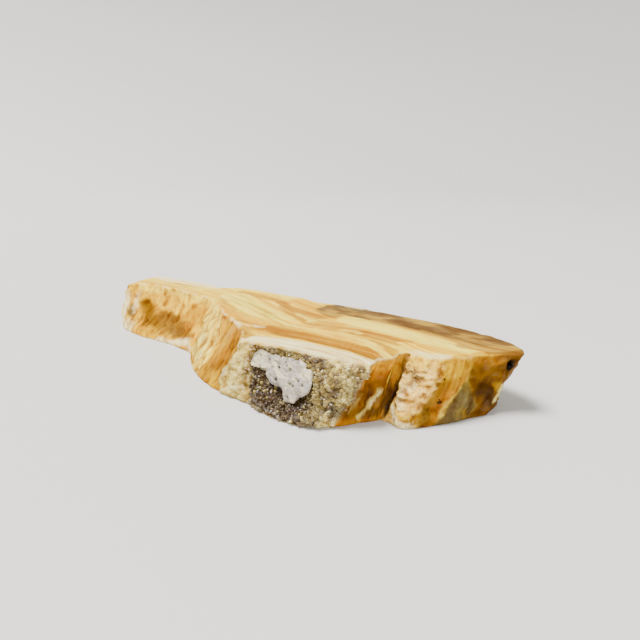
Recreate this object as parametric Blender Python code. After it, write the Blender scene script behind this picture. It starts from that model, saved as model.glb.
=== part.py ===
"""Rhodochrosite slice: a thick sawn slab of banded stone with a crystal pocket in its front wall.

Frame: metres, +Z up, +X along the length, +Y toward the back. The origin is under the middle of
the slab, on the surface that it lies on.
"""

import math

import bmesh
import bpy
import numpy as np
from mathutils import Matrix, Vector

MM = 0.001

# Driving sizes, in millimetres.
THICKNESS = 13.0
TOP_EDGE_ROUND = 0.35
FOOT_ROUND = 0.7
FRONT_STEP = 1.7
REAR_STEP = 3.6
REAR_FROM_Y = 14.7
GAP = 0.3

# Heights of the rings that the rim is lofted through, as shares of the way down from the top.
RING_DEPTHS = (0.0, 0.03, 0.11, 0.21, 0.31, 0.41, 0.51, 0.61, 0.71, 0.81, 0.9, 0.96, 1.0)

# The rim, from the left end along the front to the right tip and back along the rear.
# Each line holds the top corner (x, y), the foot below it (x, y) and how far the wall swells
# outward (+) or is scooped (-) half way down.
RIM = (
    (-73.0, 19.5, -70.0, 8.5, 0.4),
    (-71.0, 12.0, -66.5, 2.0, 0.6),
    (-67.0, 3.0, -61.0, -4.0, 1.2),
    (-66.0, 7.0, -58.5, -5.2, 1.0),
    (-60.0, 9.0, -53.0, -6.5, -0.6),
    (-50.0, 9.5, -45.0, -7.3, -1.8),
    (-38.0, 8.0, -33.0, -6.8, -1.6),
    (-32.0, 7.6, -26.0, -7.0, -0.4),
    (-27.0, 7.0, -19.0, -8.6, -1.4),
    (-24.0, 5.8, -16.4, -9.8, 0.0),
    (-19.0, 3.4, -12.5, -12.8, 0.6),
    (-15.0, 0.8, -10.0, -15.0, 0.8),
    (-11.0, -2.0, -7.0, -17.0, -0.4),
    (-5.0, -5.0, -3.0, -19.0, -0.5),
    (2.0, -8.5, 2.5, -21.5, -0.6),
    (10.5, -14.0, 9.0, -23.4, -0.8),
    (16.5, -19.5, 13.0, -24.0, 0.5),
    (21.0, -18.6, 18.0, -24.3, 1.2),
    (26.0, -17.5, 23.5, -24.6, 0.8),
    (31.0, -16.8, 30.0, -26.5, 0.5),
    (36.0, -16.2, 34.0, -27.2, 0.5),
    (40.0, -16.1, 38.0, -26.9, 0.6),
    (44.0, -16.0, 42.0, -26.4, 0.8),
    (48.0, -15.2, 45.5, -24.5, 0.8),
    (51.5, -14.0, 48.2, -21.0, 0.3),
    (50.2, -10.0, 50.2, -17.0, -0.5),
    (52.0, -6.0, 52.2, -13.6, 0.0),
    (51.0, -2.4, 52.4, -12.2, -1.2),
    (53.0, -1.2, 54.2, -12.0, 0.5),
    (57.0, -2.0, 57.4, -13.2, 1.3),
    (59.0, -1.0, 59.6, -13.0, 0.8),
    (61.0, 0.5, 61.0, -11.0, 0.5),
    (62.5, 2.2, 62.8, -8.0, 0.4),
    (64.0, 4.0, 65.0, -4.2, 0.2),
    (66.0, 8.0, 67.0, 1.0, -0.2),
    (70.0, 12.0, 69.0, 5.5, -0.9),
    (73.0, 14.5, 68.4, 9.5, -0.6),
    (71.0, 18.0, 67.4, 12.6, -0.4),
    (67.0, 21.0, 65.8, 15.4, 0.3),
    (60.0, 24.0, 59.0, 15.0, 0.5),
    (45.0, 26.5, 45.0, 15.3, 0.4),
    (30.0, 27.0, 30.0, 15.8, -0.4),
    (15.0, 27.0, 15.0, 15.6, 0.5),
    (8.0, 26.0, 8.0, 15.0, 0.2),
    (2.0, 24.5, 2.0, 13.3, -0.5),
    (-6.0, 26.5, -6.0, 15.0, 0.6),
    (-16.0, 26.0, -16.0, 14.6, 0.2),
    (-25.0, 26.2, -25.0, 14.6, 0.5),
    (-33.0, 24.0, -33.0, 12.6, 0.0),
    (-38.0, 19.8, -38.0, 8.6, -0.6),
    (-42.0, 21.2, -42.0, 9.8, 0.4),
    (-50.0, 22.0, -50.0, 10.6, 0.3),
    (-61.0, 20.8, -61.0, 9.6, 0.2),
)

# Stretches of the front wall that broke into small flat faces: from X, to X and how far the
# faces stand out.
CHIPPED = (
    (-72.0, -24.0, 0.7),
    (-24.0, -12.0, 1.0),
    (-12.0, 15.0, 0.5),
    (15.0, 24.0, 0.9),
    (24.0, 39.0, 0.6),
    (39.0, 51.0, 1.2),
    (52.6, 60.0, 1.1),
    (60.0, 66.0, 0.5),
)

# Lumps (+) and hollows (-) on the front wall: place along X, height above the underside,
# half width, half height and how far they stand out.
LUMPS = (
    (-61.0, 8.5, 3.0, 3.0, 0.7),
    (-47.0, 8.0, 9.0, 3.6, -1.5),
    (-34.0, 8.2, 3.6, 3.2, 0.9),
    (-46.0, 1.6, 5.0, 1.8, 0.8),
    (-33.0, 1.8, 4.0, 2.0, 0.9),
    (-24.0, 2.6, 3.0, 2.2, 0.7),
    (-19.5, 9.0, 2.4, 2.6, 0.8),
    (-16.0, 4.2, 2.2, 2.8, 0.7),
    (-9.0, 2.2, 2.4, 1.8, 0.7),
    (-3.0, 7.0, 3.4, 3.0, -0.7),
    (5.0, 4.0, 2.6, 3.4, 0.6),
    (8.5, 9.0, 2.4, 3.0, -0.6),
    (16.0, 8.0, 2.2, 2.6, 0.7),
    (18.5, 3.2, 2.8, 2.0, 0.9),
    (44.5, 9.6, 2.6, 2.2, 0.7),
    (46.0, 4.2, 1.6, 1.6, -0.8),
    (43.5, 1.8, 3.0, 1.8, 0.7),
    (56.5, 5.6, 2.6, 2.6, 0.9),
    (58.0, 1.6, 2.2, 1.6, 0.8),
    (60.5, 8.6, 1.4, 3.4, 0.6),
    (63.4, 6.0, 1.0, 5.0, 0.5),
    (72.2, 9.6, 1.4, 1.8, -1.6),
)

# The pocket: its middle on the front wall, its half length along X, half height up the wall and
# depth into the stone. Going up, it slants to the left by POCKET_SLANT of the height. The wall
# leans back by WALL_LEAN over the full thickness.
POCKET_MIDDLE = (32.9, -22.3, 6.7)
POCKET_HALF_LENGTH = 11.0
POCKET_HALF_HEIGHT = 7.2
POCKET_DEPTH = 5.6
POCKET_SLANT = 0.42
POCKET_SQUARENESS = 3.2
POCKET_FLOOR_RISE = 0.5
WALL_LEAN = 11.0

# The druse: how deep its bowl is, how far its rim stays behind the wall, the darkest hollow
# (place along X, up the wall, half width, extra depth) and how far its crystals stand.
DRUSE_BOWL = 2.5
DRUSE_RIM_BACK = 0.5
DRUSE_HOLLOW = (6.4, -2.6, 2.6, 1.0)
CRYSTAL_LOW = 0.15
CRYSTAL_HIGH = 0.8
CRYSTAL_HIDDEN = 0.12

# The chalcedony skin: its outline along X and up the wall from the pocket's middle, with the
# drip at the lower right, the point it grows from, where its front lies and its pits (place,
# half width).
CHALCEDONY_OUTLINE = (
    (6.1, 2.0),
    (6.4, 3.5),
    (5.9, 4.6),
    (4.2, 4.8),
    (4.6, 5.6),
    (3.4, 6.1),
    (1.5, 6.2),
    (-1.8, 6.1),
    (-5.2, 5.6),
    (-6.8, 6.1),
    (-8.6, 5.8),
    (-9.5, 5.0),
    (-9.3, 3.8),
    (-9.8, 2.6),
    (-9.4, 1.7),
    (-8.0, 2.5),
    (-6.6, 2.8),
    (-5.6, 1.6),
    (-4.6, 0.3),
    (-4.1, -0.8),
    (-2.2, -0.9),
    (-0.5, -1.0),
    (0.6, -1.6),
    (0.2, -3.3),
    (1.1, -3.9),
    (2.4, -3.5),
    (2.8, -2.6),
    (3.8, -2.0),
    (4.9, -1.0),
    (6.0, 0.1),
)
CHALCEDONY_MIDDLE = (-1.0, 2.6)
CHALCEDONY_FRONT = -0.1
CHALCEDONY_CLEAR = 0.25
CHALCEDONY_PITS = (
    (-5.2, 4.6, 0.6),
    (1.6, 3.6, 0.8),
    (3.4, 1.4, 0.6),
    (4.2, 0.6, 0.6),
    (2.0, 0.4, 0.6),
    (-2.4, 0.6, 0.6),
    (-1.8, 3.4, 0.5),
)


def clear_scene():
    """Removes every object, so that the script always starts from nothing."""
    for old in list(bpy.data.objects):
        bpy.data.objects.remove(old, do_unlink=True)


def make_collection(name):
    group = bpy.data.collections.new(name)
    bpy.context.scene.collection.children.link(group)
    return group


def make_material(name, colour, roughness):
    material = bpy.data.materials.new(name)
    material.use_nodes = True
    shader = material.node_tree.nodes["Principled BSDF"]
    shader.inputs["Base Color"].default_value = (*colour, 1.0)
    shader.inputs["Roughness"].default_value = roughness
    shader.inputs["Metallic"].default_value = 0.0
    material.diffuse_color = (*colour, 1.0)
    return material


def soft_noise(u, v, seed):
    """Smooth noise from -1 to 1 with one lump per unit of u and v."""
    table = np.random.RandomState(seed).uniform(-1.0, 1.0, (64, 64))
    column = np.floor(u).astype(int)
    row = np.floor(v).astype(int)
    across = u - column
    up = v - row
    across = across * across * (3.0 - 2.0 * across)
    up = up * up * (3.0 - 2.0 * up)
    low = table[column % 64, row % 64] * (1.0 - across) + table[(column + 1) % 64, row % 64] * across
    high = table[column % 64, (row + 1) % 64] * (1.0 - across)
    high = high + table[(column + 1) % 64, (row + 1) % 64] * across
    return low * (1.0 - up) + high * up


def chipped_noise(u, v, seed):
    """Four-sided blunt peaks, one to each unit of u and v, as a sugary stone breaks; 0 to 1."""
    dice = np.random.RandomState(seed)
    spot_u, spot_v, turn, peak = dice.uniform(0.0, 1.0, (4, 64, 64))
    height = np.zeros_like(u)
    for step_u in (-1, 0, 1):
        for step_v in (-1, 0, 1):
            column = np.floor(u).astype(int) + step_u
            row = np.floor(v).astype(int) + step_v
            place = (column % 64, row % 64)
            across = u - column - spot_u[place]
            up = v - row - spot_v[place]
            angle = turn[place] * 0.5 * math.pi
            along = across * np.cos(angle) + up * np.sin(angle)
            beside = up * np.cos(angle) - across * np.sin(angle)
            slope = np.abs(along) + 0.8 * np.abs(beside)
            height = np.maximum(height, 0.6 + 0.4 * peak[place] - 0.8 * slope)
    return height


def rim_line():
    """The rim's corners joined by straight runs, finer along the front than along the rear."""
    rows = np.array(RIM)
    line = []
    for here, there in zip(rows, np.roll(rows, -1, axis=0)):
        top_run = math.hypot(there[0] - here[0], there[1] - here[1])
        foot_run = math.hypot(there[2] - here[2], there[3] - here[3])
        rear = here[1] > REAR_FROM_Y and there[1] > REAR_FROM_Y
        count = max(1, math.ceil(max(top_run, foot_run) / (REAR_STEP if rear else FRONT_STEP)))
        for step in range(count):
            line.append(here + (there - here) * step / count)
    return np.array(line)


def outward(points):
    """Unit directions that point out of a counter-clockwise outline, one for each point."""
    ahead = np.roll(points, -1, axis=0) - np.roll(points, 1, axis=0)
    side = np.column_stack((ahead[:, 1], -ahead[:, 0]))
    return side / np.linalg.norm(side, axis=1)[:, None]


def wall_relief(x, z, along, depth, front):
    """How far the broken wall stands out of its plain surface, in millimetres."""
    out = 0.4 * soft_noise(along / 5.2, z / 4.1 + 7.0, 3)
    out += 0.35 * soft_noise(along / 2.3 + 11.0, z / 2.2, 5)
    rough = 0.35 * (1.0 - front)
    for start, end, stand in CHIPPED:
        rough = np.where((front > 0.0) & (x >= start) & (x < end), stand, rough)
    out += rough * (chipped_noise(along / 3.1, z / 2.7, 6) - 0.45)
    for place, height, half_width, half_height, stand in LUMPS:
        near = ((x - place) / half_width) ** 2 + ((z - height) / half_height) ** 2
        out += front * stand * np.exp(-near)
    fade = min(1.0, 0.35 + depth / 0.15) * min(1.0, 0.25 + (1.0 - depth) / 0.12)
    return out * fade


def slab_rings():
    """Rings of points down the rim, from the top edge to the foot."""
    line = rim_line()
    top = line[:, 0:2]
    foot = line[:, 2:4]
    swell = line[:, 4]
    away = outward((top + foot) / 2.0)
    run = np.linalg.norm(np.roll(top, -1, axis=0) - top, axis=1)
    along = np.concatenate(([0.0], np.cumsum(run)[:-1]))
    front = (along < 190.0).astype(float)
    rings = []
    for depth in RING_DEPTHS:
        z = np.full(len(line), THICKNESS * (1.0 - depth))
        plan = top + (foot - top) * depth
        out = swell * 4.0 * depth * (1.0 - depth)
        out = out + wall_relief(plan[:, 0], z, along, depth, front)
        if depth == 0.0:
            out = out - TOP_EDGE_ROUND
        if depth == 1.0:
            out = out - FOOT_ROUND
        plan = plan + away * out[:, None]
        rings.append(np.column_stack((plan, z)) * MM)
    return rings


def link(name, mesh, material, group):
    part = bpy.data.objects.new(name, mesh)
    mesh.materials.append(material)
    group.objects.link(part)
    return part


def make_slab(group, cutters, material):
    """Loft between the top outline and the foot outline, with a polished top and a sawn foot."""
    rings = slab_rings()
    shape = bmesh.new()
    rows = [[shape.verts.new(point) for point in ring] for ring in rings]
    count = len(rows[0])
    for upper, lower in zip(rows, rows[1:]):
        for i in range(count):
            j = (i + 1) % count
            shape.faces.new((upper[i], lower[i], lower[j], upper[j]))
    shape.faces.new(rows[0])
    shape.faces.new(list(reversed(rows[-1])))
    bmesh.ops.recalc_face_normals(shape, faces=shape.faces)
    bmesh.ops.triangulate(shape, faces=shape.faces)
    mesh = bpy.data.meshes.new("banded_slab")
    shape.to_mesh(mesh)
    shape.free()
    slab = link("banded_slab", mesh, material, group)
    cut = slab.modifiers.new("pocket", "BOOLEAN")
    cut.operation = "DIFFERENCE"
    cut.solver = "EXACT"
    cut.object = make_pocket_cutter(cutters)
    return slab


def pocket_frame():
    """Places the pocket's own axes: X along the wall, Y up the wall and Z out of it."""
    up = Vector((0.0, WALL_LEAN, THICKNESS)).normalized()
    out = Vector((1.0, 0.0, 0.0)).cross(up)
    turn = Matrix(((1.0, up.x, out.x), (0.0, up.y, out.y), (0.0, up.z, out.z))).to_4x4()
    return Matrix.Translation(Vector(POCKET_MIDDLE) * MM) @ turn


def pocket_reach(angle):
    """How far the pocket's squarish outline goes at an angle, as a share of its half sizes."""
    corner = np.abs(np.cos(angle)) ** POCKET_SQUARENESS + np.abs(np.sin(angle)) ** POCKET_SQUARENESS
    return corner ** (-1.0 / POCKET_SQUARENESS)


def slanted(points):
    """The points in metres, slanted as the pocket is."""
    shifted = points[:, 0] - POCKET_SLANT * points[:, 1]
    return np.column_stack((shifted, points[:, 1], points[:, 2])) * MM


def pocket_points(unit, spare):
    """Moves the points of a unit ball onto the pocket's uneven wall, less the spare gap."""
    angle = np.arctan2(unit[:, 1], unit[:, 0])
    uneven = soft_noise(np.cos(angle) * 1.7 + 10.0, np.sin(angle) * 1.7 + 10.0, 14)
    plan = pocket_reach(angle) * (1.0 + 0.09 * uneven)
    deep = 1.0 + 0.06 * soft_noise(unit[:, 0] * 3.0 + 9.0, unit[:, 1] * 3.0 + 9.0, 9)
    deep = deep * np.where(unit[:, 2] < 0.0, 1.0 + POCKET_FLOOR_RISE * np.minimum(unit[:, 1], 0.2), 1.0)
    return np.column_stack((
        unit[:, 0] * plan * (POCKET_HALF_LENGTH - spare),
        unit[:, 1] * plan * (POCKET_HALF_HEIGHT - spare),
        unit[:, 2] * deep * (POCKET_DEPTH - spare),
    ))


def druse_front(x, y):
    """Height of the bowl that the crystals stand on, in the pocket's own axes."""
    angle = np.arctan2(y / POCKET_HALF_HEIGHT, x / POCKET_HALF_LENGTH)
    reach = np.hypot(x / POCKET_HALF_LENGTH, y / POCKET_HALF_HEIGHT) / pocket_reach(angle)
    floor = 1.0 + POCKET_FLOOR_RISE * np.clip(y / POCKET_HALF_HEIGHT, -1.0, 0.2)
    bowl = -DRUSE_RIM_BACK - DRUSE_BOWL * floor * (1.0 - np.clip(reach, 0.0, 1.0) ** 2)
    hollow_x, hollow_y, hollow_half, hollow_deep = DRUSE_HOLLOW
    near = ((x - hollow_x) ** 2 + (y - hollow_y) ** 2) / hollow_half ** 2
    return bowl - hollow_deep * np.exp(-near) * np.clip(1.25 - reach, 0.0, 1.0)


def chalcedony_rim():
    """The chalcedony's outline with every corner cut once, so that it runs in soft lobes."""
    corners = np.array(CHALCEDONY_OUTLINE)
    ahead = np.roll(corners, -1, axis=0)
    return np.stack((0.75 * corners + 0.25 * ahead, 0.25 * corners + 0.75 * ahead), axis=1).reshape(-1, 2)


def covered(x, y):
    """True where the chalcedony hides the crystals."""
    rim = chalcedony_rim() - np.array(CHALCEDONY_MIDDLE)
    turn = np.arctan2(rim[:, 1], rim[:, 0])
    order = np.argsort(turn)
    from_x = x - CHALCEDONY_MIDDLE[0]
    from_y = y - CHALCEDONY_MIDDLE[1]
    far = np.hypot(rim[:, 0], rim[:, 1])[order]
    reach = np.interp(math.atan2(from_y, from_x), turn[order], far, period=2.0 * math.pi)
    return math.hypot(from_x, from_y) < reach + 0.5


def make_pocket_cutter(cutters):
    ball = bmesh.new()
    bmesh.ops.create_icosphere(ball, subdivisions=4, radius=1.0)
    points = pocket_points(np.array([v.co[:] for v in ball.verts]), 0.0)
    for vert, point in zip(ball.verts, slanted(points)):
        vert.co = point
    mesh = bpy.data.meshes.new("pocket_cutter")
    ball.to_mesh(mesh)
    ball.free()
    cutter = bpy.data.objects.new("pocket_cutter", mesh)
    cutters.objects.link(cutter)
    cutter.matrix_world = pocket_frame()
    cutter.hide_render = True
    cutter.display_type = "WIRE"
    return cutter


def make_druse(group, material):
    """A ball pressed into a bowl that lines the pocket, with flat-faced crystals on its front."""
    ball = bmesh.new()
    bmesh.ops.create_icosphere(ball, subdivisions=4, radius=1.0)
    unit = np.array([v.co[:] for v in ball.verts])
    front = unit[:, 2] > -0.05
    flat = np.hypot(unit[:, 0], unit[:, 1])
    even = np.arccos(np.clip(unit[:, 2], 0.0, 1.0)) / (0.5 * math.pi)
    stretch = np.where(front, even / np.maximum(flat, 1e-6), 1.0)
    points = pocket_points(unit, GAP)
    points[:, 0:2] *= stretch[:, None]
    bowl = druse_front(points[:, 0], points[:, 1])
    behind = bowl - 0.05 - 0.4 * (1.0 - np.clip(flat, 0.0, 1.0) ** 2)
    points[:, 2] = np.where(front, bowl, np.minimum(points[:, 2], behind))
    for vert, point in zip(ball.verts, slanted(points)):
        vert.co = point
    faces = [face for face in ball.faces if all(front[vert.index] for vert in face.verts)]
    poked = bmesh.ops.poke(ball, faces=faces)
    dice = np.random.RandomState(21)
    for tip in poked["verts"]:
        y = tip.co.y / MM
        x = tip.co.x / MM + POCKET_SLANT * y
        stand = dice.uniform(CRYSTAL_LOW, CRYSTAL_HIGH)
        side = dice.uniform(-0.2, 0.2, 2)
        if covered(x, y):
            stand = CRYSTAL_HIDDEN
            side = side * 0.0
        tip.co = tip.co + Vector((side[0], side[1], stand)) * MM
    bmesh.ops.triangulate(ball, faces=ball.faces)
    mesh = bpy.data.meshes.new("druse_lining")
    ball.to_mesh(mesh)
    ball.free()
    druse = link("druse_lining", mesh, material, group)
    druse.matrix_world = pocket_frame()
    return druse


def make_chalcedony(group, material):
    """A lobed plate: a flattened ball whose rim follows the outline, lumpy and pitted in front."""
    ball = bmesh.new()
    rim = chalcedony_rim()
    bmesh.ops.create_uvsphere(ball, u_segments=len(rim), v_segments=10, radius=1.0)
    unit = np.array([v.co[:] for v in ball.verts])
    angle = np.arctan2(unit[:, 1], unit[:, 0])
    share = np.arccos(np.clip(np.abs(unit[:, 2]), 0.0, 1.0)) / (0.5 * math.pi)
    corner = np.round(angle / (2.0 * math.pi) * len(rim)).astype(int) % len(rim)
    x = CHALCEDONY_MIDDLE[0] + (rim[corner, 0] - CHALCEDONY_MIDDLE[0]) * share
    y = CHALCEDONY_MIDDLE[1] + (rim[corner, 1] - CHALCEDONY_MIDDLE[1]) * share
    edge = np.sqrt(np.clip(1.0 - share ** 4, 0.0, 1.0))
    back = druse_front(x, y) + CRYSTAL_HIDDEN + GAP + CHALCEDONY_CLEAR
    middle = 0.5 * (back + CHALCEDONY_FRONT)
    half = np.maximum(CHALCEDONY_FRONT - middle, 0.2)
    face = middle + half * edge + 0.4 * edge * soft_noise(x / 1.7 + 14.0, y / 1.7 + 16.0, 12)
    for pit_x, pit_y, pit_size in CHALCEDONY_PITS:
        face -= 0.6 * np.exp(-((x - pit_x) ** 2 + (y - pit_y) ** 2) / pit_size ** 2)
    rear = middle - half * edge
    z = np.where(unit[:, 2] > 0.01, np.maximum(face, rear + 0.15), middle)
    z = np.where(unit[:, 2] < -0.01, rear, z)
    for vert, point in zip(ball.verts, slanted(np.column_stack((x, y, z)))):
        vert.co = point
    bmesh.ops.triangulate(ball, faces=ball.faces)
    mesh = bpy.data.meshes.new("chalcedony_crust")
    ball.to_mesh(mesh)
    ball.free()
    mesh.shade_smooth()
    crust = link("chalcedony_crust", mesh, material, group)
    crust.matrix_world = pocket_frame()
    return crust


def main():
    clear_scene()
    group = make_collection("rhodochrosite_slice")
    cutters = make_collection("cutters")
    cream = make_material("amber and cream stone", (0.80, 0.60, 0.33), 0.35)
    brown = make_material("brown crystals", (0.34, 0.24, 0.14), 0.3)
    grey = make_material("grey chalcedony", (0.56, 0.54, 0.58), 0.45)
    make_slab(group, cutters, cream)
    make_druse(group, brown)
    make_chalcedony(group, grey)


if __name__ == "__main__":
    main()
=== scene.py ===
"""The look of the rhodochrosite slice: banded amber and cream stone, its crystal pocket and its stage.

Sizes in the tables are in millimetres, in the part's own frame.
"""

import math
from collections import namedtuple

import bpy
import numpy as np
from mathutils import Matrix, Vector


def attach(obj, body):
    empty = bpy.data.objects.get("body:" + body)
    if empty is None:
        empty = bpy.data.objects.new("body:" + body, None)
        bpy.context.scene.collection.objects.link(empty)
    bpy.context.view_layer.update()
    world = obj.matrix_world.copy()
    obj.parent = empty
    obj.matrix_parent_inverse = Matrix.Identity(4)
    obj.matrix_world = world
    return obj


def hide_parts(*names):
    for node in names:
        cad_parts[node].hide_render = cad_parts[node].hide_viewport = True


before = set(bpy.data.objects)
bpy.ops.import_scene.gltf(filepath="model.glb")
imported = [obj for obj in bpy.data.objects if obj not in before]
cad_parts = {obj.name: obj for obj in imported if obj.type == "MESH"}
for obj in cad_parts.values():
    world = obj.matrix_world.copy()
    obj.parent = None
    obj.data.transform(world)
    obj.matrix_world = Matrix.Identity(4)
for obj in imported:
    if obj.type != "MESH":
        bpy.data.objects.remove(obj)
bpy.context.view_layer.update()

bl_info = {
    "name": "Banded Stone Slice",
    "version": (1, 0, 0),
    "blender": (4, 5, 0),
    "location": "3D View > Sidebar > Stone",
    "description": "Builds a banded stone slice with a crystal pocket",
    "category": "Add Mesh",
}

MM = 0.001
FULL_TURN = 2.0 * math.pi

# How many cells the noise has each way before it repeats.
LATTICE = 64

# The slab as the part has it: thickness, how its edges are eased and how far its walls lean.
THICKNESS = 13.0
TOP_EDGE_ROUND = 0.35
FOOT_ROUND = 0.7
WALL_LEAN = 11.0

# How finely the surface is worked out.
FRONT_STEP = 0.36
REAR_STEP = 0.52
REAR_FROM_Y = 14.7
WALL_ROWS = 46
TOP_ROWS = 42
FOOT_ROWS = 6

# The rim, from the left end along the front to the right tip and back along the rear.
# Each line holds the top corner (x, y), the foot below it (x, y) and how far the wall swells
# outward (+) or is scooped (-) half way down.
RIM = (
    (-73.0, 19.5, -70.0, 8.5, 0.4),
    (-71.0, 12.0, -66.5, 2.0, 0.6),
    (-67.0, 3.0, -61.0, -4.0, 1.2),
    (-66.0, 7.0, -58.5, -5.2, 1.0),
    (-60.0, 9.0, -53.0, -6.5, -0.6),
    (-50.0, 9.5, -45.0, -7.3, -1.8),
    (-38.0, 8.0, -33.0, -6.8, -1.6),
    (-32.0, 7.6, -26.0, -7.0, -0.4),
    (-27.0, 7.0, -19.0, -8.6, -1.4),
    (-24.0, 5.8, -16.4, -9.8, 0.0),
    (-19.0, 3.4, -12.5, -12.8, 0.6),
    (-15.0, 0.8, -10.0, -15.0, 0.8),
    (-11.0, -2.0, -7.0, -17.0, -0.4),
    (-5.0, -5.0, -3.0, -19.0, -0.5),
    (2.0, -8.5, 2.5, -21.5, -0.6),
    (10.5, -14.0, 9.0, -23.4, -0.8),
    (16.5, -19.5, 13.0, -24.0, 0.5),
    (21.0, -18.6, 18.0, -24.3, 1.2),
    (26.0, -17.5, 23.5, -24.6, 0.8),
    (31.0, -16.8, 30.0, -26.5, 0.5),
    (36.0, -16.2, 34.0, -27.2, 0.5),
    (40.0, -16.1, 38.0, -26.9, 0.6),
    (44.0, -16.0, 42.0, -26.4, 0.8),
    (48.0, -15.2, 45.5, -24.5, 0.8),
    (51.5, -14.0, 48.2, -21.0, 0.3),
    (50.2, -10.0, 50.2, -17.0, -0.5),
    (52.0, -6.0, 52.2, -13.6, 0.0),
    (51.0, -2.4, 52.4, -12.2, -1.2),
    (53.0, -1.2, 54.2, -12.0, 0.5),
    (57.0, -2.0, 57.4, -13.2, 1.3),
    (59.0, -1.0, 59.6, -13.0, 0.8),
    (61.0, 0.5, 61.0, -11.0, 0.5),
    (62.5, 2.2, 62.8, -8.0, 0.4),
    (64.0, 4.0, 65.0, -4.2, 0.2),
    (66.0, 8.0, 67.0, 1.0, -0.2),
    (70.0, 12.0, 69.0, 5.5, -0.9),
    (73.0, 14.5, 68.4, 9.5, -0.6),
    (71.0, 18.0, 67.4, 12.6, -0.4),
    (67.0, 21.0, 65.8, 15.4, 0.3),
    (60.0, 24.0, 59.0, 15.0, 0.5),
    (45.0, 26.5, 45.0, 15.3, 0.4),
    (30.0, 27.0, 30.0, 15.8, -0.4),
    (15.0, 27.0, 15.0, 15.6, 0.5),
    (8.0, 26.0, 8.0, 15.0, 0.2),
    (2.0, 24.5, 2.0, 13.3, -0.5),
    (-6.0, 26.5, -6.0, 15.0, 0.6),
    (-16.0, 26.0, -16.0, 14.6, 0.2),
    (-25.0, 26.2, -25.0, 14.6, 0.5),
    (-33.0, 24.0, -33.0, 12.6, 0.0),
    (-38.0, 19.8, -38.0, 8.6, -0.6),
    (-42.0, 21.2, -42.0, 9.8, 0.4),
    (-50.0, 22.0, -50.0, 10.6, 0.3),
    (-61.0, 20.8, -61.0, 9.6, 0.2),
)

# Stretches of the front wall that broke into small flat faces: from X, to X and how far the
# faces stand out.
CHIPPED = (
    (-72.0, -24.0, 0.7),
    (-24.0, -12.0, 1.0),
    (-12.0, 15.0, 0.5),
    (15.0, 24.0, 0.9),
    (24.0, 39.0, 0.6),
    (39.0, 51.0, 1.2),
    (52.6, 60.0, 1.1),
    (60.0, 66.0, 0.5),
)

# Lumps (+) and hollows (-) on the front wall: place along X, height above the underside,
# half width, half height and how far they stand out.
LUMPS = (
    (-61.0, 8.5, 3.0, 3.0, 0.7),
    (-47.0, 8.0, 9.0, 3.6, -1.5),
    (-34.0, 8.2, 3.6, 3.2, 0.9),
    (-46.0, 1.6, 5.0, 1.8, 0.8),
    (-33.0, 1.8, 4.0, 2.0, 0.9),
    (-24.0, 2.6, 3.0, 2.2, 0.7),
    (-19.5, 9.0, 2.4, 2.6, 0.8),
    (-16.0, 4.2, 2.2, 2.8, 0.7),
    (-9.0, 2.2, 2.4, 1.8, 0.7),
    (-3.0, 7.0, 3.4, 3.0, -0.7),
    (5.0, 4.0, 2.6, 3.4, 0.6),
    (8.5, 9.0, 2.4, 3.0, -0.6),
    (16.0, 8.0, 2.2, 2.6, 0.7),
    (18.5, 3.2, 2.8, 2.0, 0.9),
    (44.5, 9.6, 2.6, 2.2, 0.7),
    (46.0, 4.2, 1.6, 1.6, -0.8),
    (43.5, 1.8, 3.0, 1.8, 0.7),
    (56.5, 5.6, 2.6, 2.6, 0.9),
    (58.0, 1.6, 2.2, 1.6, 0.8),
    (60.5, 8.6, 1.4, 3.4, 0.6),
    (63.4, 6.0, 1.0, 5.0, 0.5),
    (72.2, 9.6, 1.4, 1.8, -1.6),
)

# The line that the spine of the top runs along, from the left end to the right tip, and how far
# the underside's spine lies in front of it.
SPINE = ((-69.0, 15.0), (-50.0, 15.5), (-25.0, 15.0), (0.0, 10.5), (20.0, 7.0), (45.0, 8.0), (66.0, 14.0))
FOOT_SPINE_FORWARD = 10.5
FOOT_SPINE_SHARE = 0.92

# Where the spine's points lie along X for a place along the rim, in millimetres, and the same
# for the rim's last run.
SPINE_STEPS = (
    (0.0, -69.5), (18.0, -69.5), (45.0, -43.0), (80.0, -20.0), (120.0, 21.6), (148.0, 34.3), (162.0, 47.7),
    (176.0, 62.0), (190.0, 62.0), (215.0, 60.0), (250.0, 15.0), (290.0, -31.0),
)
SPINE_LAST_RUN = 8.0
SPINE_LAST = (-60.0, -67.5)

# The pocket: its middle on the front wall, its half length along X, half height up the wall and
# depth into the stone. Going up, it slants to the left by POCKET_SLANT of the height.
POCKET_MIDDLE = (32.9, -22.3, 6.7)
POCKET_HALF_LENGTH = 11.0
POCKET_HALF_HEIGHT = 7.2
POCKET_SLANT = 0.42
POCKET_SQUARENESS = 3.2
POCKET_FLOOR_RISE = 0.5
DRUSE_BOWL = 2.5
DRUSE_RIM_BACK = 0.5
DRUSE_HOLLOW = (6.4, -2.6, 2.6, 1.0)

# The pocket touches only the wall in front of this Y.
POCKET_FROM_Y = -10.0

# How far behind the crystals the stone's own surface runs in the pocket.
POCKET_BACKING = 0.9

# Deeper holes in the wall: place along the rim, millimetres down, half width and depth.
HOLES = (
    (35.9, 3.0, 1.1, 1.5),
    (35.5, 2.6, 0.6, 0.9),
    (23.0, 12.0, 0.8, 0.9),
    (28.3, 2.9, 0.35, 0.4),
    (29.6, 3.2, 0.4, 0.5),
)

# Length of the wall from the top edge to the foot, and of the front along the top edge.
WALL_RUN = 17.0
FRONT_RUN = 190.0

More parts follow.
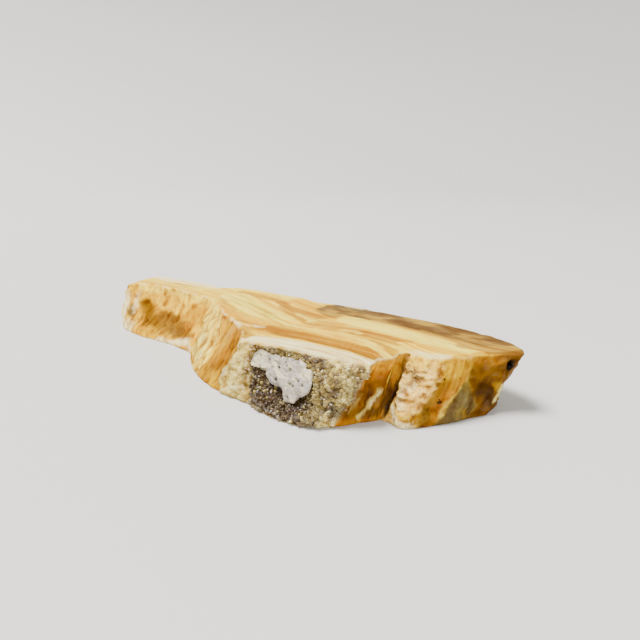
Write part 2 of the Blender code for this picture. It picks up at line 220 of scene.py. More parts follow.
# The middle line of the layers on the top, and how much they lean forward on the way down.
LAYER_LINE = (
    (-73.0, 15.0), (-45.0, 15.5), (-30.0, 14.0), (-15.0, 9.0), (0.0, 3.0), (15.0, -2.0), (25.0, 0.0),
    (37.0, 1.0), (47.0, 0.0), (53.0, -3.0), (62.0, -6.0),
)
LAYER_LEAN = 0.85

# How polished the top is and how finely the skin and the crust are worked out.
POLISH = 0.85
SKIN_COLUMNS = 240
SKIN_ROWS = 34
SHEET_COLUMNS = 160
SHEET_ROWS = 44

# The grey skin's tones.
SKIN_TONES = {
    "skin": "CCC2BE",
    "skin_pale": "E2DACE",
    "skin_green": "BEB7A0",
    "skin_shade": "9E9182",
    "pit_shade": "4A403A",
}

# How much light the paints are worked out for, and the most that any paint gives back.
LIGHT_ON_STONE = 2.75
BRIGHTEST = 0.82

# The lights' powers, and their places, targets and sizes in metres.
KEY_POWER = 176.0
KEY_PLACE = (-1.02, -0.24, 2.34)
KEY_TARGET = (0.0, -0.01, 0.0)
KEY_SIZE = 1.05
FRONT_POWER = 6.5
FRONT_PLACE = (0.7, -0.5, 0.35)
FRONT_TARGET = (0.01, -0.01, 0.0)
FRONT_SIZE = 0.6
WORLD_COLOUR = "DCDDDE"
WORLD_STRENGTH = 0.62

# The floor: how far it lies flat, as a share of its radius, how high its far rim curves up and
# how many rings and spokes it is laid in.
FLAT_SHARE = 0.3
FLOOR_RISE = 1.3
FLOOR_RINGS = 40
FLOOR_SPOKES = 96

# The camera: its place, its turn in degrees and the length of its lens, which is also the width
# of its sensor, in millimetres.
CAMERA_PLACE = (0.12798, -0.11875, 0.05508)
CAMERA_TURN = (75.96, 0.0, 41.03)
CAMERA_LENS = 36.0

# The crystals: the corners of each, then how many and how wide in the pocket and on the wall.
CRYSTAL_CORNERS = 13
CRYSTAL_COUNT = 1500
CRYSTAL_WIDTH = (0.24, 0.85)
SUGAR_COUNT = 3300
SUGAR_WIDTH = (0.28, 1.15)

# The chalcedony skin: its outline along X and up the wall from the pocket's middle, with the
# drip at the lower right, the point it grows from, where its front lies and its larger pits
# (place, half width).
CHALCEDONY_OUTLINE = (
    (8.2, 2.6), (8.6, 3.8), (7.8, 4.9), (6.0, 4.9), (6.2, 5.7), (4.6, 6.4), (2.0, 6.3), (-1.8, 6.4),
    (-5.6, 6.0), (-8.0, 6.5), (-10.2, 6.1), (-11.3, 5.2), (-10.9, 4.0), (-11.5, 2.8), (-11.0, 1.7),
    (-9.4, 2.4), (-7.7, 2.8), (-6.4, 1.7), (-5.3, 0.5), (-4.6, -0.6), (-2.6, -0.8), (-0.8, -1.0), (0.6, -1.5),
    (0.3, -3.2), (1.4, -3.8), (3.0, -3.4), (3.6, -2.5), (4.9, -1.9), (6.4, -0.9), (7.8, 0.5),
)
CHALCEDONY_MIDDLE = (-1.0, 2.6)
CHALCEDONY_FRONT = -0.1
CHALCEDONY_PITS = (
    (-5.2, 4.6, 0.45),
    (1.6, 3.6, 0.6),
    (4.4, 1.6, 0.5),
    (5.6, 0.8, 0.4),
    (2.0, 0.4, 0.45),
    (-2.4, 0.6, 0.5),
    (-1.8, 3.4, 0.4),
    (3.0, 0.2, 0.3),
    (0.4, 1.9, 0.3),
    (-8.2, 5.0, 0.35),
    (-0.2, 4.9, 0.35),
    (1.6, -2.6, 0.35),
)

# The stone's tones, as six hexadecimal digits each.
TONES = {
    "cream": "E6C896",
    "light_cream": "F9EBC4",
    "white_cream": "F6EFE2",
    "peach": "E4B672",
    "lump_cream": "EEDDB8",
    "amber": "DE9F48",
    "deep_amber": "BE8630",
    "orange": "DA9236",
    "bright_amber": "F0BC50",
    "band_amber": "DAA33E",
    "band_orange": "DC9C32",
    "tan": "A27850",
    "tan_pale": "D0AE84",
    "rear_rind": "CDB48E",
    "tan_brown": "B67E4C",
    "brown": "8A5C2E",
    "dark_brown": "4A2A12",
    "near_black": "1E120A",
    "yellow": "E3B854",
    "yellow_green": "DCCB74",
    "pink": "F4D8C0",
    "pink_brown": "AA7850",
    "pink_white": "F6E2D0",
    "grey_tan": "A08A66",
    "rind": "DACBAC",
    "lavender": "C9C0C4",
    "sugar": "C8B290",
    "sugar_white": "EBE0C8",
    "druse_brown": "866544",
    "facet_grey": "84704C",
    "glass_brown": "965F18",
}

# What red, green and blue are multiplied by where the stone darkens or pales, by its own streaks and mottling
# and as painted shade and painted highlight.
TINTS = {
    "streak": (0.74, 0.56, 0.3),
    "cloud": (0.62, 0.5, 0.4),
    "rib": (0.78, 0.6, 0.4),
    # Painted shade in the hollows between lumps.
    "crevice_shade": (0.7, 0.54, 0.38),
    "mottle": (0.6, 0.46, 0.3),
    "bloom": (1.12, 1.16, 1.25),
    # Painted shade in the chinks between sugary chips, in the ruffles' troughs and where the fine relief lies
    # low.
    "chink_shade": (0.5, 0.4, 0.3),
    "ruffle": (0.56, 0.42, 0.32),
    "low": (0.5, 0.36, 0.24),
    # Painted highlight where the fine relief stands out.
    "high": (1.14, 1.18, 1.28),
}
REAR_TINT = (1.4, 1.0, 0.6)

# Where one kind of stone meets the next on the wall: each border runs down the wall through
# (share of the way down, place along the rim in rim corners).
BORDERS = {
    "arm_lumps": ((0.0, 8.4), (0.4, 9.7), (0.62, 10.4), (0.8, 10.6)),
    "lumps_amber": ((0.02, 12.2), (0.3, 12.7), (0.56, 13.1), (0.75, 13.4), (0.96, 13.1)),
    "amber_rind": ((0.06, 15.6), (0.2, 16.0), (0.4, 15.9), (0.63, 14.9), (0.75, 15.0), (0.96, 16.1)),
    "rind_pocket": ((0.02, 16.6), (0.3, 17.0), (0.5, 17.3), (0.7, 17.8), (0.87, 18.4), (0.96, 18.0)),
    "block_flow": ((0.0, 24.1), (0.15, 24.5), (0.23, 23.9), (0.46, 23.9), (0.62, 24.1), (0.75, 23.6)),
    "groove": ((0.15, 27.7), (0.4, 27.9), (0.7, 27.7), (0.92, 27.4), (1.0, 27.0)),
    "lobe_ribs": ((0.0, 31.1), (0.13, 31.4), (0.33, 31.1), (0.65, 30.9), (0.75, 30.6), (1.0, 31.1)),
    "ribs_facet": ((0.0, 33.3), (0.37, 33.5), (0.46, 33.1), (0.63, 32.5), (0.83, 32.4), (0.96, 32.1)),
    "facet_glass": ((0.0, 33.3), (0.37, 33.5), (0.62, 33.9), (0.79, 34.2), (0.96, 33.9)),
    "glass_rear": ((0.0, 37.4), (1.0, 37.4)),
}

# The kinds of stone along the wall: first border, last border, tone, gloss, how sugary it is,
# how ribbed down the wall, how lumpy, how speckled.
KINDS = (
    (None, "arm_lumps", "peach", 0.45, 0.12, 0.0, 0.7, 0.0),
    ("arm_lumps", "lumps_amber", "lump_cream", 0.25, 0.25, 0.6, 1.2, 0.0),
    ("lumps_amber", "amber_rind", "band_amber", 0.7, 0.1, 0.6, 0.4, 0.0),
    ("amber_rind", "rind_pocket", "rind", 0.12, 0.55, 0.0, 0.3, 0.0),
    ("rind_pocket", "block_flow", "sugar", 0.3, 1.0, 0.0, 0.3, 0.5),
    ("block_flow", "groove", "orange", 0.75, 0.05, 1.0, 0.3, 0.0),
    ("groove", "lobe_ribs", "pink", 0.35, 0.5, 0.0, 0.6, 0.6),
    ("lobe_ribs", "ribs_facet", "amber", 0.65, 0.15, 1.0, 0.3, 0.9),
    ("ribs_facet", "facet_glass", "facet_grey", 0.6, 0.15, 0.3, 0.2, 0.0),
    ("facet_glass", "glass_rear", "glass_brown", 0.85, 0.05, 0.0, 0.6, 0.3),
    ("glass_rear", None, "rear_rind", 0.2, 0.6, 0.7, 0.3, 0.3),
)

# How far to either side of a border, in millimetres, one kind of stone gives way to the next.
BORDER_EASE = 0.6

# Where the amber, the block, the lobe and the glass stand in that list.
AMBER = 2
BLOCK = 4
LOBE = 6
GLASS = 9

# The columns of KINDS that hold how glossy, sugary, ribbed, lumpy and speckled a kind is.
GLOSS_COLUMN = 3
SUGAR_COLUMN = 4
RIB_COLUMN = 5
LUMP_COLUMN = 6
SPECK_COLUMN = 7

# How far a patch's edge fades, in millimetres.
PATCH_EASE = 0.45

# Patches on the wall: tone, half width in millimetres, strength, and the line they follow
# through (place along the rim, share of the way down).
WALL_PATCHES = (
    ("white_cream", 2.4, 0.8, ((2.0, 0.3), (2.6, 0.9), (3.8, 0.95))),
    ("white_cream", 1.2, 0.6, ((3.4, 0.25), (3.5, 0.6))),
    ("grey_tan", 0.9, 0.8, ((3.17, 0.46), (3.4, 0.68))),
    ("light_cream", 1.4, 0.6, ((3.4, 0.1), (5.0, 0.1), (6.6, 0.06), (8.0, 0.05))),
    ("cream", 2.8, 0.6, ((4.6, 0.3), (5.2, 0.4), (6.0, 0.3))),
    ("amber", 0.7, 0.7, ((4.6, 0.5), (5.1, 0.56), (5.6, 0.6), (5.95, 0.55), (6.4, 0.4), (6.8, 0.2))),
    ("tan_brown", 2.6, 0.85, ((5.0, 0.66), (5.7, 0.72), (6.4, 0.68), (7.1, 0.76))),
    ("pink_brown", 1.0, 0.55, ((5.7, 0.74), (6.4, 0.76), (6.9, 0.66))),
    ("amber", 1.8, 0.6, ((6.6, 0.36), (7.3, 0.3), (7.2, 0.55), (6.9, 0.6))),
    ("amber", 2.2, 0.6, ((4.2, 0.5), (4.5, 0.7), (4.8, 0.84))),
    ("deep_amber", 2.0, 1.0, ((4.0, 0.4), (4.3, 0.56), (4.6, 0.72))),
    ("tan_brown", 1.4, 0.8, ((4.6, 0.74), (5.2, 0.6), (5.8, 0.58))),
    ("deep_amber", 1.0, 0.8, ((4.7, 0.7), (5.3, 0.78))),
    ("yellow", 1.3, 0.7, ((4.6, 0.86), (5.3, 0.9))),
    ("white_cream", 0.9, 0.8, ((5.6, 0.95), (6.3, 0.95), (7.0, 0.9), (7.6, 0.85), (8.0, 0.97))),
    ("tan", 0.5, 0.6, ((8.9, 0.1), (9.2, 0.3), (9.7, 0.55), (10.2, 0.75))),
    ("grey_tan", 0.8, 0.5, ((10.4, 0.5), (10.9, 0.7), (11.5, 0.85))),
    ("rind", 1.0, 0.7, ((11.0, 0.3), (11.4, 0.55), (12.2, 0.7))),
    ("yellow", 0.8, 0.35, ((12.5, 0.66), (12.9, 0.72))),
    ("peach", 0.8, 0.7, ((11.9, 0.15), (12.4, 0.4), (12.6, 0.6))),
    ("white_cream", 0.6, 0.8, ((12.4, 0.75), (12.3, 0.95))),
    ("cream", 0.7, 0.6, ((12.6, 0.1), (12.9, 0.3), (13.2, 0.5), (13.3, 0.7))),
    ("peach", 1.3, 0.5, ((13.0, 0.1), (13.3, 0.4), (13.7, 0.6))),
    ("band_orange", 3.0, 0.9, ((14.4, 0.12), (14.9, 0.35), (14.6, 0.5), (14.0, 0.7), (14.2, 0.95))),
    ("deep_amber", 2.2, 0.6, ((14.5, 0.2), (14.9, 0.5), (14.5, 0.68), (14.0, 0.88))),
    ("yellow", 1.6, 0.5, ((13.7, 0.85), (14.6, 0.9), (15.2, 0.92))),
    ("lavender", 1.1, 0.8, ((15.3, 0.5), (15.6, 0.62), (15.2, 0.7))),
    ("white_cream", 0.6, 0.6, ((16.1, 0.88), (16.9, 0.78), (17.3, 0.74))),
    ("grey_tan", 0.7, 0.5, ((16.9, 0.3), (17.2, 0.5), (17.5, 0.68))),
    ("tan", 1.6, 0.6, ((18.0, 0.12), (19.4, 0.08), (20.6, 0.1))),
    ("pink_brown", 0.8, 0.5, ((20.9, 0.08), (21.4, 0.13))),
    ("sugar_white", 1.2, 0.7, ((23.3, 0.5), (23.6, 0.6), (23.2, 0.74))),
    ("sugar_white", 1.5, 0.7, ((22.4, 0.86), (23.1, 0.84), (23.0, 0.95))),
    ("sugar_white", 1.0, 0.7, ((21.8, 0.03), (23.0, 0.04), (24.0, 0.02))),
    ("druse_brown", 1.0, 0.8, ((22.9, 0.68), (23.2, 0.73))),
    ("druse_brown", 1.6, 0.7, ((18.4, 0.82), (19.6, 0.86), (20.8, 0.84))),
    ("tan", 1.8, 0.6, ((20.2, 0.92), (21.6, 0.86), (22.2, 0.9))),
    ("druse_brown", 1.2, 0.4, ((22.2, 0.5), (22.8, 0.45))),
    ("druse_brown", 0.6, 0.6, ((21.2, 0.1), (21.7, 0.28), (21.8, 0.42))),
    ("druse_brown", 0.5, 0.5, ((22.5, 0.24), (22.9, 0.36), (22.7, 0.5))),
    ("sugar_white", 0.9, 0.5, ((22.2, 0.14), (23.0, 0.2), (23.3, 0.34))),
    # Painted shade in the hole at place 23.
    ("near_black", 0.5, 0.5, ((22.9, 0.66), (23.1, 0.7))),
    ("deep_amber", 1.5, 0.8, ((24.7, 0.34), (25.5, 0.36), (26.3, 0.34))),
    ("brown", 2.2, 0.75, ((24.2, 0.5), (25.0, 0.56), (26.2, 0.62), (26.9, 0.6))),
    ("dark_brown", 1.6, 0.75, ((23.7, 0.8), (24.6, 0.78), (26.0, 0.86), (27.1, 0.78))),
    ("deep_amber", 0.8, 0.7, ((24.4, 0.66), (24.6, 0.84), (24.8, 0.95))),
    ("deep_amber", 0.7, 0.8, ((26.2, 0.7), (26.4, 0.84), (26.4, 0.95))),
    ("brown", 0.9, 0.7, ((26.9, 0.45), (27.3, 0.6), (27.2, 0.8))),
    ("rind", 0.6, 0.9, ((25.65, 0.54), (25.45, 0.64), (25.3, 0.76), (24.9, 0.9))),
    ("white_cream", 0.26, 0.8, ((25.75, 0.54), (25.6, 0.62), (25.5, 0.72))),
    ("sugar", 0.4, 0.8, ((24.4, 0.52), (24.5, 0.66), (24.3, 0.8))),
    ("light_cream", 0.4, 0.7, ((26.2, 0.02), (26.5, 0.12), (26.6, 0.26), (26.3, 0.38))),
    ("yellow", 0.9, 0.8, ((27.0, 0.02), (27.0, 0.14), (26.9, 0.26))),
    ("bright_amber", 2.6, 0.95, ((24.7, 0.06), (25.3, 0.12), (26.2, 0.1))),
    ("orange", 1.4, 0.8, ((24.7, 0.24), (25.5, 0.26), (26.2, 0.24))),
    ("yellow", 0.5, 0.5, ((24.6, 0.05), (25.0, 0.1), (25.4, 0.08))),
    # Dark line in the groove: partly dark specks in the stone, partly painted shade in the groove.
    ("near_black", 0.5, 0.75, ((27.7, 0.14), (27.9, 0.3), (27.85, 0.46), (27.7, 0.7), (27.4, 0.9))),
    ("cream", 2.2, 0.9, ((28.3, 0.02), (29.6, 0.05), (30.7, 0.06))),
    ("grey_tan", 1.3, 0.7, ((28.4, 0.26), (29.0, 0.28), (29.2, 0.36))),
    ("pink", 1.7, 0.8, ((30.2, 0.16), (30.2, 0.34), (30.0, 0.5), (29.4, 0.66))),
    ("white_cream", 0.8, 0.6, ((29.0, 0.4), (28.7, 0.55), (28.9, 0.68))),
    ("grey_tan", 0.8, 0.5, ((28.6, 0.45), (28.4, 0.62), (28.6, 0.74))),
    ("yellow", 1.9, 0.9, ((29.2, 0.84), (29.9, 0.86), (30.5, 0.84))),
    ("white_cream", 1.0, 0.9, ((28.3, 0.78), (28.6, 0.86), (29.2, 0.95), (30.2, 0.97))),
    ("yellow", 2.4, 1.0, ((31.6, 0.04), (32.6, 0.06), (33.2, 0.05), (32.0, 0.2))),
    ("deep_amber", 1.3, 0.7, ((31.6, 0.36), (31.4, 0.55), (31.2, 0.72), (31.2, 0.9))),
    ("brown", 0.8, 0.6, ((31.1, 0.7), (31.2, 0.85), (31.4, 0.97))),
    ("light_cream", 0.3, 0.7, ((33.0, 0.45), (32.6, 0.6), (32.3, 0.72), (32.2, 0.82))),
    ("grey_tan", 1.4, 0.6, ((33.3, 0.6), (33.5, 0.72))),
    ("grey_tan", 1.0, 0.6, ((33.0, 0.7), (32.8, 0.84), (33.2, 0.95))),
    ("yellow", 0.6, 0.3, ((33.6, 0.84), (33.7, 0.94))),
    ("amber", 1.4, 0.7, ((33.7, 0.1), (34.4, 0.08), (34.8, 0.1))),
    ("deep_amber", 1.6, 0.6, ((33.8, 0.26), (34.6, 0.24), (35.2, 0.3))),
    ("dark_brown", 1.5, 0.75, ((34.2, 0.52), (34.7, 0.62), (35.0, 0.78))),
    ("brown", 1.2, 0.5, ((35.2, 0.2), (35.6, 0.3))),
    ("sugar_white", 0.7, 0.75, ((35.7, 0.56), (35.8, 0.68), (35.4, 0.8))),
    ("yellow", 1.0, 0.5, ((35.0, 0.5), (35.3, 0.56))),
    # Painted shade in the hole at place 35.9.
    ("near_black", 0.8, 1.0, ((35.85, 0.2), (36.0, 0.26))),
    ("dark_brown", 0.3, 0.8, ((29.5, 0.14), (29.6, 0.2))),
    ("dark_brown", 0.26, 0.8, ((28.2, 0.07), (28.2, 0.1))),
    ("dark_brown", 0.26, 0.8, ((28.25, 0.15), (28.2, 0.2))),
    # Painted shade in the hole at place 35.5.
    ("near_black", 0.6, 0.8, ((35.5, 0.16), (35.7, 0.2))),
    ("yellow_green", 1.4, 0.45, ((36.4, 0.04), (37.2, 0.1))),
)

# Bands and patches on the polished top: tone, half width, strength, and the line they follow.
TOP_PATCHES = (
    ("white_cream", 3.0, 0.9, ((-73.0, 18.5), (-62.0, 18.5), (-50.0, 20.0), (-40.0, 19.0))),
    ("light_cream", 2.0, 0.6, ((-70.0, 12.0), (-56.0, 12.5), (-40.0, 13.5))),
    ("yellow_green", 0.5, 0.4, ((-66.0, 14.5), (-50.0, 14.0), (-36.0, 11.0), (-26.0, 8.5))),
    ("peach", 1.4, 0.45, ((-56.0, 11.0), (-42.0, 10.6), (-30.0, 8.4))),
    ("peach", 1.0, 0.4, ((-70.0, 9.0), (-60.0, 10.2), (-48.0, 10.4))),
    ("light_cream", 1.6, 0.7, ((-44.0, 16.5), (-34.0, 16.0), (-26.0, 14.5), (-18.0, 12.5))),
    ("light_cream", 2.6, 0.8, ((-32.0, 22.5), (-24.0, 25.0), (-20.0, 25.5))),
    ("light_cream", 2.4, 0.8, ((-18.0, 25.5), (-12.0, 25.0), (-6.0, 23.0))),
    ("band_amber", 1.4, 0.7, ((-27.0, 20.0), (-20.0, 20.0), (-12.0, 18.5), (-4.0, 17.5))),
    ("peach", 2.8, 0.8, ((-4.0, 22.0), (2.0, 20.5), (7.0, 19.0))),
    ("band_orange", 1.8, 0.85, ((-6.0, 17.0), (2.0, 13.5), (9.0, 11.5), (16.0, 10.0))),
    ("band_orange", 1.5, 0.85, ((-2.0, 13.5), (6.0, 9.0), (13.0, 5.5), (20.0, 3.4))),
    ("light_cream", 0.6, 0.9, ((8.0, 9.2), (13.0, 6.8), (19.0, 4.6))),
    ("light_cream", 3.4, 0.95, ((-25.0, 13.5), (-14.0, 9.0), (-6.0, 5.2), (2.0, 2.5), (8.0, 0.5))),
    ("yellow_green", 0.6, 0.6,
     ((-17.0, 13.5), (-9.0, 9.4), (-2.0, 5.8), (4.0, 2.4), (12.0, 0.0), (20.0, -2.6))),
    ("yellow_green", 0.5, 0.5, ((-24.0, 6.5), (-14.0, 4.0), (-6.0, 0.5), (0.0, -2.6))),
    ("band_amber", 0.9, 0.5, ((-24.0, 8.6), (-14.0, 3.0), (-6.0, -1.6), (0.0, -5.4))),
    ("peach", 1.6, 0.6, ((-20.0, 4.4), (-10.0, -0.5), (-3.0, -4.5))),
    ("peach", 2.6, 0.7, ((-4.0, -2.6), (6.0, -4.0), (18.0, -3.6), (26.0, -3.2))),
    ("band_amber", 1.9, 0.75, ((2.0, -7.4), (12.0, -8.6), (18.0, -7.8))),
    ("band_amber", 3.2, 1.0, ((14.0, -7.0), (24.0, -6.6), (34.0, -6.8), (44.0, -6.6), (50.0, -8.4))),
    ("band_orange", 2.2, 1.0, ((16.0, -7.8), (28.0, -7.2), (38.0, -7.2), (46.0, -7.6), (51.0, -10.0))),
    ("deep_amber", 0.8, 0.6, ((18.0, -9.6), (30.0, -9.0), (42.0, -8.8), (49.0, -10.0))),
    ("band_amber", 1.4, 0.8, ((6.0, -10.0), (12.0, -13.0), (16.0, -16.5))),
    ("deep_amber", 0.8, 0.6, ((9.0, -12.8), (13.0, -15.4), (16.0, -18.2))),
    ("pink", 0.9, 0.8, ((2.4, -8.2), (4.6, -8.6), (7.4, -8.2))),
    ("white_cream", 0.5, 0.7, ((3.0, -8.2), (4.6, -8.4))),
    ("white_cream", 0.6, 0.7, ((8.8, -7.6), (11.6, -7.4))),
    ("light_cream", 0.9, 0.85, ((11.0, -0.4), (18.0, -1.0), (24.0, -0.6), (30.0, -1.8))),
    ("peach", 0.8, 0.6, ((20.0, -3.2), (30.0, -3.4), (40.0, -3.6))),
    ("cream", 1.0, 0.8, ((26.0, -0.4), (34.0, -1.6), (42.0, -3.2))),
    ("light_cream", 1.0, 0.95, ((38.0, -0.8), (43.0, -2.6), (48.0, -5.2), (52.5, -8.6))),
    ("band_amber", 0.7, 0.8, ((40.0, 0.8), (46.0, -1.2), (50.0, -3.6), (53.0, -7.0))),
    ("yellow", 0.9, 0.7, ((48.0, -1.6), (51.0, -4.0), (52.6, -7.4))),
    ("band_orange", 2.8, 0.6, ((20.0, 5.6), (28.0, 4.8), (34.0, 5.2))),
    ("band_orange", 2.6, 0.85, ((34.0, 4.4), (40.0, 4.6), (46.0, 4.2))),
    ("yellow", 1.0, 0.45, ((36.0, 2.0), (42.0, 1.2), (47.0, 1.8))),
    ("light_cream", 1.0, 0.6, ((28.6, 4.4), (31.5, 5.2), (34.0, 4.0))),
    ("peach", 1.4, 0.7, ((14.0, 13.5), (20.0, 10.6), (25.0, 8.6))),
    ("tan", 5.2, 0.95, ((12.0, 21.5), (24.0, 21.8), (40.0, 21.5), (54.0, 20.0), (64.0, 17.0), (70.0, 16.0))),
    ("tan", 2.4, 0.6, ((10.0, 18.5), (14.0, 16.0), (17.0, 14.5))),
    ("pink_brown", 2.2, 0.75, ((50.0, 17.0), (56.0, 16.6), (60.0, 15.5))),
    ("pink_brown", 1.2, 0.4, ((24.0, 20.5), (34.0, 21.0), (44.0, 20.0))),
    ("grey_tan", 2.4, 0.7, ((11.0, 24.5), (15.0, 24.5), (20.0, 25.2))),
    ("white_cream", 0.8, 0.5, ((13.0, 26.0), (18.0, 26.2))),
    ("light_cream", 3.4, 1.0, ((23.0, 13.2), (32.0, 12.8), (44.0, 10.8), (54.0, 9.0), (61.0, 8.0))),
    ("light_cream", 1.6, 0.9, ((21.0, 14.4), (24.0, 15.4), (30.0, 15.4))),
    ("cream", 1.4, 0.9, ((47.0, 4.2), (54.0, 2.6), (60.0, 3.2))),
    ("peach", 1.6, 0.6, ((52.0, 5.4), (58.0, 4.6), (63.0, 5.4))),
    ("white_cream", 1.4, 0.7, ((53.0, 0.4), (57.0, 0.2), (60.0, 1.6))),
    ("yellow", 1.3, 0.9, ((62.0, 3.0), (64.5, 5.6), (66.0, 8.6))),
    ("deep_amber", 1.2, 0.7, ((66.5, 10.0), (69.5, 13.0), (71.5, 15.5))),
    ("tan_pale", 2.4, 0.85, ((60.0, 11.5), (64.5, 12.5), (67.0, 15.0), (69.0, 17.5))),
    ("tan_pale", 1.4, 0.7, ((44.0, 16.6), (52.0, 14.2), (60.0, 13.0))),
    ("white_cream", 2.6, 1.0, ((18.5, -15.6), (25.0, -14.0), (34.0, -13.2), (42.0, -13.0), (50.0, -14.4))),
    ("white_cream", 1.2, 0.9, ((16.5, -18.2), (22.0, -16.2), (30.0, -15.4), (44.0, -15.0))),
    ("sugar", 0.5, 0.5, ((26.0, -17.2), (36.0, -16.3), (46.0, -15.9))),
)


def soft_step(x, low, high):
    """Zero below low, one above high, and a smooth S between them."""
    share = np.clip((x - low) / (high - low), 0.0, 1.0)
    return share * share * (3.0 - 2.0 * share)


def soft_noise(u, v, seed):
    """Smooth noise from -1 to 1: random heights on a unit lattice, joined by smooth S curves."""
    table = np.random.RandomState(seed).uniform(-1.0, 1.0, (LATTICE, LATTICE))
    column = np.floor(u).astype(int)
    row = np.floor(v).astype(int)
    across = soft_step(u - column, 0.0, 1.0)
    up = soft_step(v - row, 0.0, 1.0)
    here = column % LATTICE
    ahead = (column + 1) % LATTICE
    above = (row + 1) % LATTICE
    row = row % LATTICE
    low = table[here, row] * (1.0 - across) + table[ahead, row] * across
    high = table[here, above] * (1.0 - across) + table[ahead, above] * across
    return low * (1.0 - up) + high * up


def deep_noise(u, v, seed, octaves):
    """Soft noise plus copies of itself at twice the fineness and half the height each time."""
    total = 0.0
    for step in range(octaves):
        total = total + soft_noise(u * 2.0 ** step + 7.3 * step, v * 2.0 ** step, seed + step) * 0.5 ** step
    return total / 1.6


def near_cells(u, v, seed, extra):
    """Offsets from each point to the seeds of the nine lattice cells round it, with random numbers."""
    dice = np.random.RandomState(seed)
    tables = dice.uniform(0.0, 1.0, (2 + extra, LATTICE, LATTICE))
    for step_u in (-1, 0, 1):
        for step_v in (-1, 0, 1):
            column = np.floor(u).astype(int) + step_u
            row = np.floor(v).astype(int) + step_v
            place = (column % LATTICE, row % LATTICE)
            across = u - column - tables[0][place]
            up = v - row - tables[1][place]
            yield across, up, [table[place] for table in tables[2:]]


def chipped_noise(u, v, seed):
    """Four-sided blunt peaks, one to each unit of u and v, as a sugary stone breaks; 0 to 1."""
    height = np.zeros_like(u)
    for across, up, (turn, peak) in near_cells(u, v, seed, 2):
        angle = turn * 0.5 * math.pi
        along = across * np.cos(angle) + up * np.sin(angle)
        beside = up * np.cos(angle) - across * np.sin(angle)
        slope = np.abs(along) + 0.8 * np.abs(beside)
        height = np.maximum(height, 0.6 + 0.4 * peak - 0.8 * slope)
    return height


def cell_distance(u, v, seed):
    """Distance from each point to the nearest of one random seed per unit square."""
    nearest = np.full_like(u, 9.0)
    for across, up, _ in near_cells(u, v, seed, 0):
        nearest = np.minimum(nearest, np.hypot(across, up))
    return nearest


def ring_smooth(values, reach):
    """Gaussian average of a closed ring of values, reach samples wide."""
    offsets = np.arange(-3 * reach, 3 * reach + 1)
    weights = np.exp(-0.5 * (offsets / reach) ** 2)
    weights = weights / weights.sum()
    total = np.zeros_like(values)
    for offset, weight in zip(offsets, weights):
        total = total + weight * np.roll(values, -offset, axis=0)
    return total


def rim_line():
    """Points along the rim: top x, y, foot x, y, swell, place (counted in rim corners) and the
    length along the top edge. The corners are joined by straight runs and then eased."""
    rows = np.column_stack((np.array(RIM), np.arange(len(RIM), dtype=float)))
    ahead = np.roll(rows, -1, axis=0)
    ahead[-1, 5] = len(RIM)
    pieces = []
    for here, there in zip(rows, ahead):
        top_run = math.hypot(there[0] - here[0], there[1] - here[1])
        foot_run = math.hypot(there[2] - here[2], there[3] - here[3])
        rear = here[1] > REAR_FROM_Y and there[1] > REAR_FROM_Y
        count = max(1, math.ceil(max(top_run, foot_run) / (REAR_STEP if rear else FRONT_STEP)))
        share = np.arange(count)[:, None] / count
        pieces.append(here + (there - here) * share)
    line = np.concatenate(pieces)
    run = np.linalg.norm(np.roll(line[:, 0:2], -1, axis=0) - line[:, 0:2], axis=1)
    along = np.concatenate(([0.0], np.cumsum(run)[:-1]))
    eased = ring_smooth(line[:, 0:5], 2)
    return eased[:, 0:2], eased[:, 2:4], eased[:, 4], line[:, 5], along


def outward(points):
    """Unit directions that point out of a counter-clockwise outline, one for each point."""
    ahead = np.roll(points, -3, axis=0) - np.roll(points, 3, axis=0)
    side = np.column_stack((ahead[:, 1], -ahead[:, 0]))
    return side / np.linalg.norm(side, axis=1)[:, None]


def coarse_relief(x, z, along, depth, front):
    """The part's own lumps and chips, in millimetres out of the plain wall."""
    out = 0.4 * soft_noise(along / 5.2, z / 4.1 + 7.0, 3)
    out += 0.35 * soft_noise(along / 2.3 + 11.0, z / 2.2, 5)
    rough = 0.35 * (1.0 - front)
    for start, end, stand in CHIPPED:
        rough = np.where((front > 0.0) & (x >= start) & (x < end), stand, rough)
    out += rough * (chipped_noise(along / 3.1, z / 2.7, 6) - 0.45)
    for place, height, half_width, half_height, stand in LUMPS:
        near = ((x - place) / half_width) ** 2 + ((z - height) / half_height) ** 2
        out += front * stand * np.exp(-near)
    fade = np.minimum(1.0, 0.35 + depth / 0.15) * np.minimum(1.0, 0.25 + (1.0 - depth) / 0.12)
    return out * fade


def linear(code):
    """Six hexadecimal digits of a colour, as linear red, green and blue from 0 to 1."""
    share = np.array([int(code[digit:digit + 2], 16) for digit in (0, 2, 4)]) / 255.0
    return tuple(np.where(share <= 0.04045, share / 12.92, ((share + 0.055) / 1.055) ** 2.4).tolist())


def pigment(code):
    """The paint that shows as a tone: the film-like curve of the final picture pales light colours
    and presses bright ones together, so green and blue are lowered by powers of their share of red
    that grow with the brightness, and bright reds are raised, over the light that falls on them."""
    red, green, blue = linear(code)
    bright = max(red - 0.37, 0.0)
    pale = min(0.25 + 2.0 * blue / red, 1.0)
    shown = red * (1.0 + 12.0 * bright * bright * pale) / LIGHT_ON_STONE
    green_share = (green / red) ** (1.0 + 2.0 * bright * (0.18 + blue / red))
    blue_share = (blue / red) ** (1.2 + 5.5 * bright)
    return tuple(min(shown, BRIGHTEST) * share for share in (1.0, green_share, blue_share))


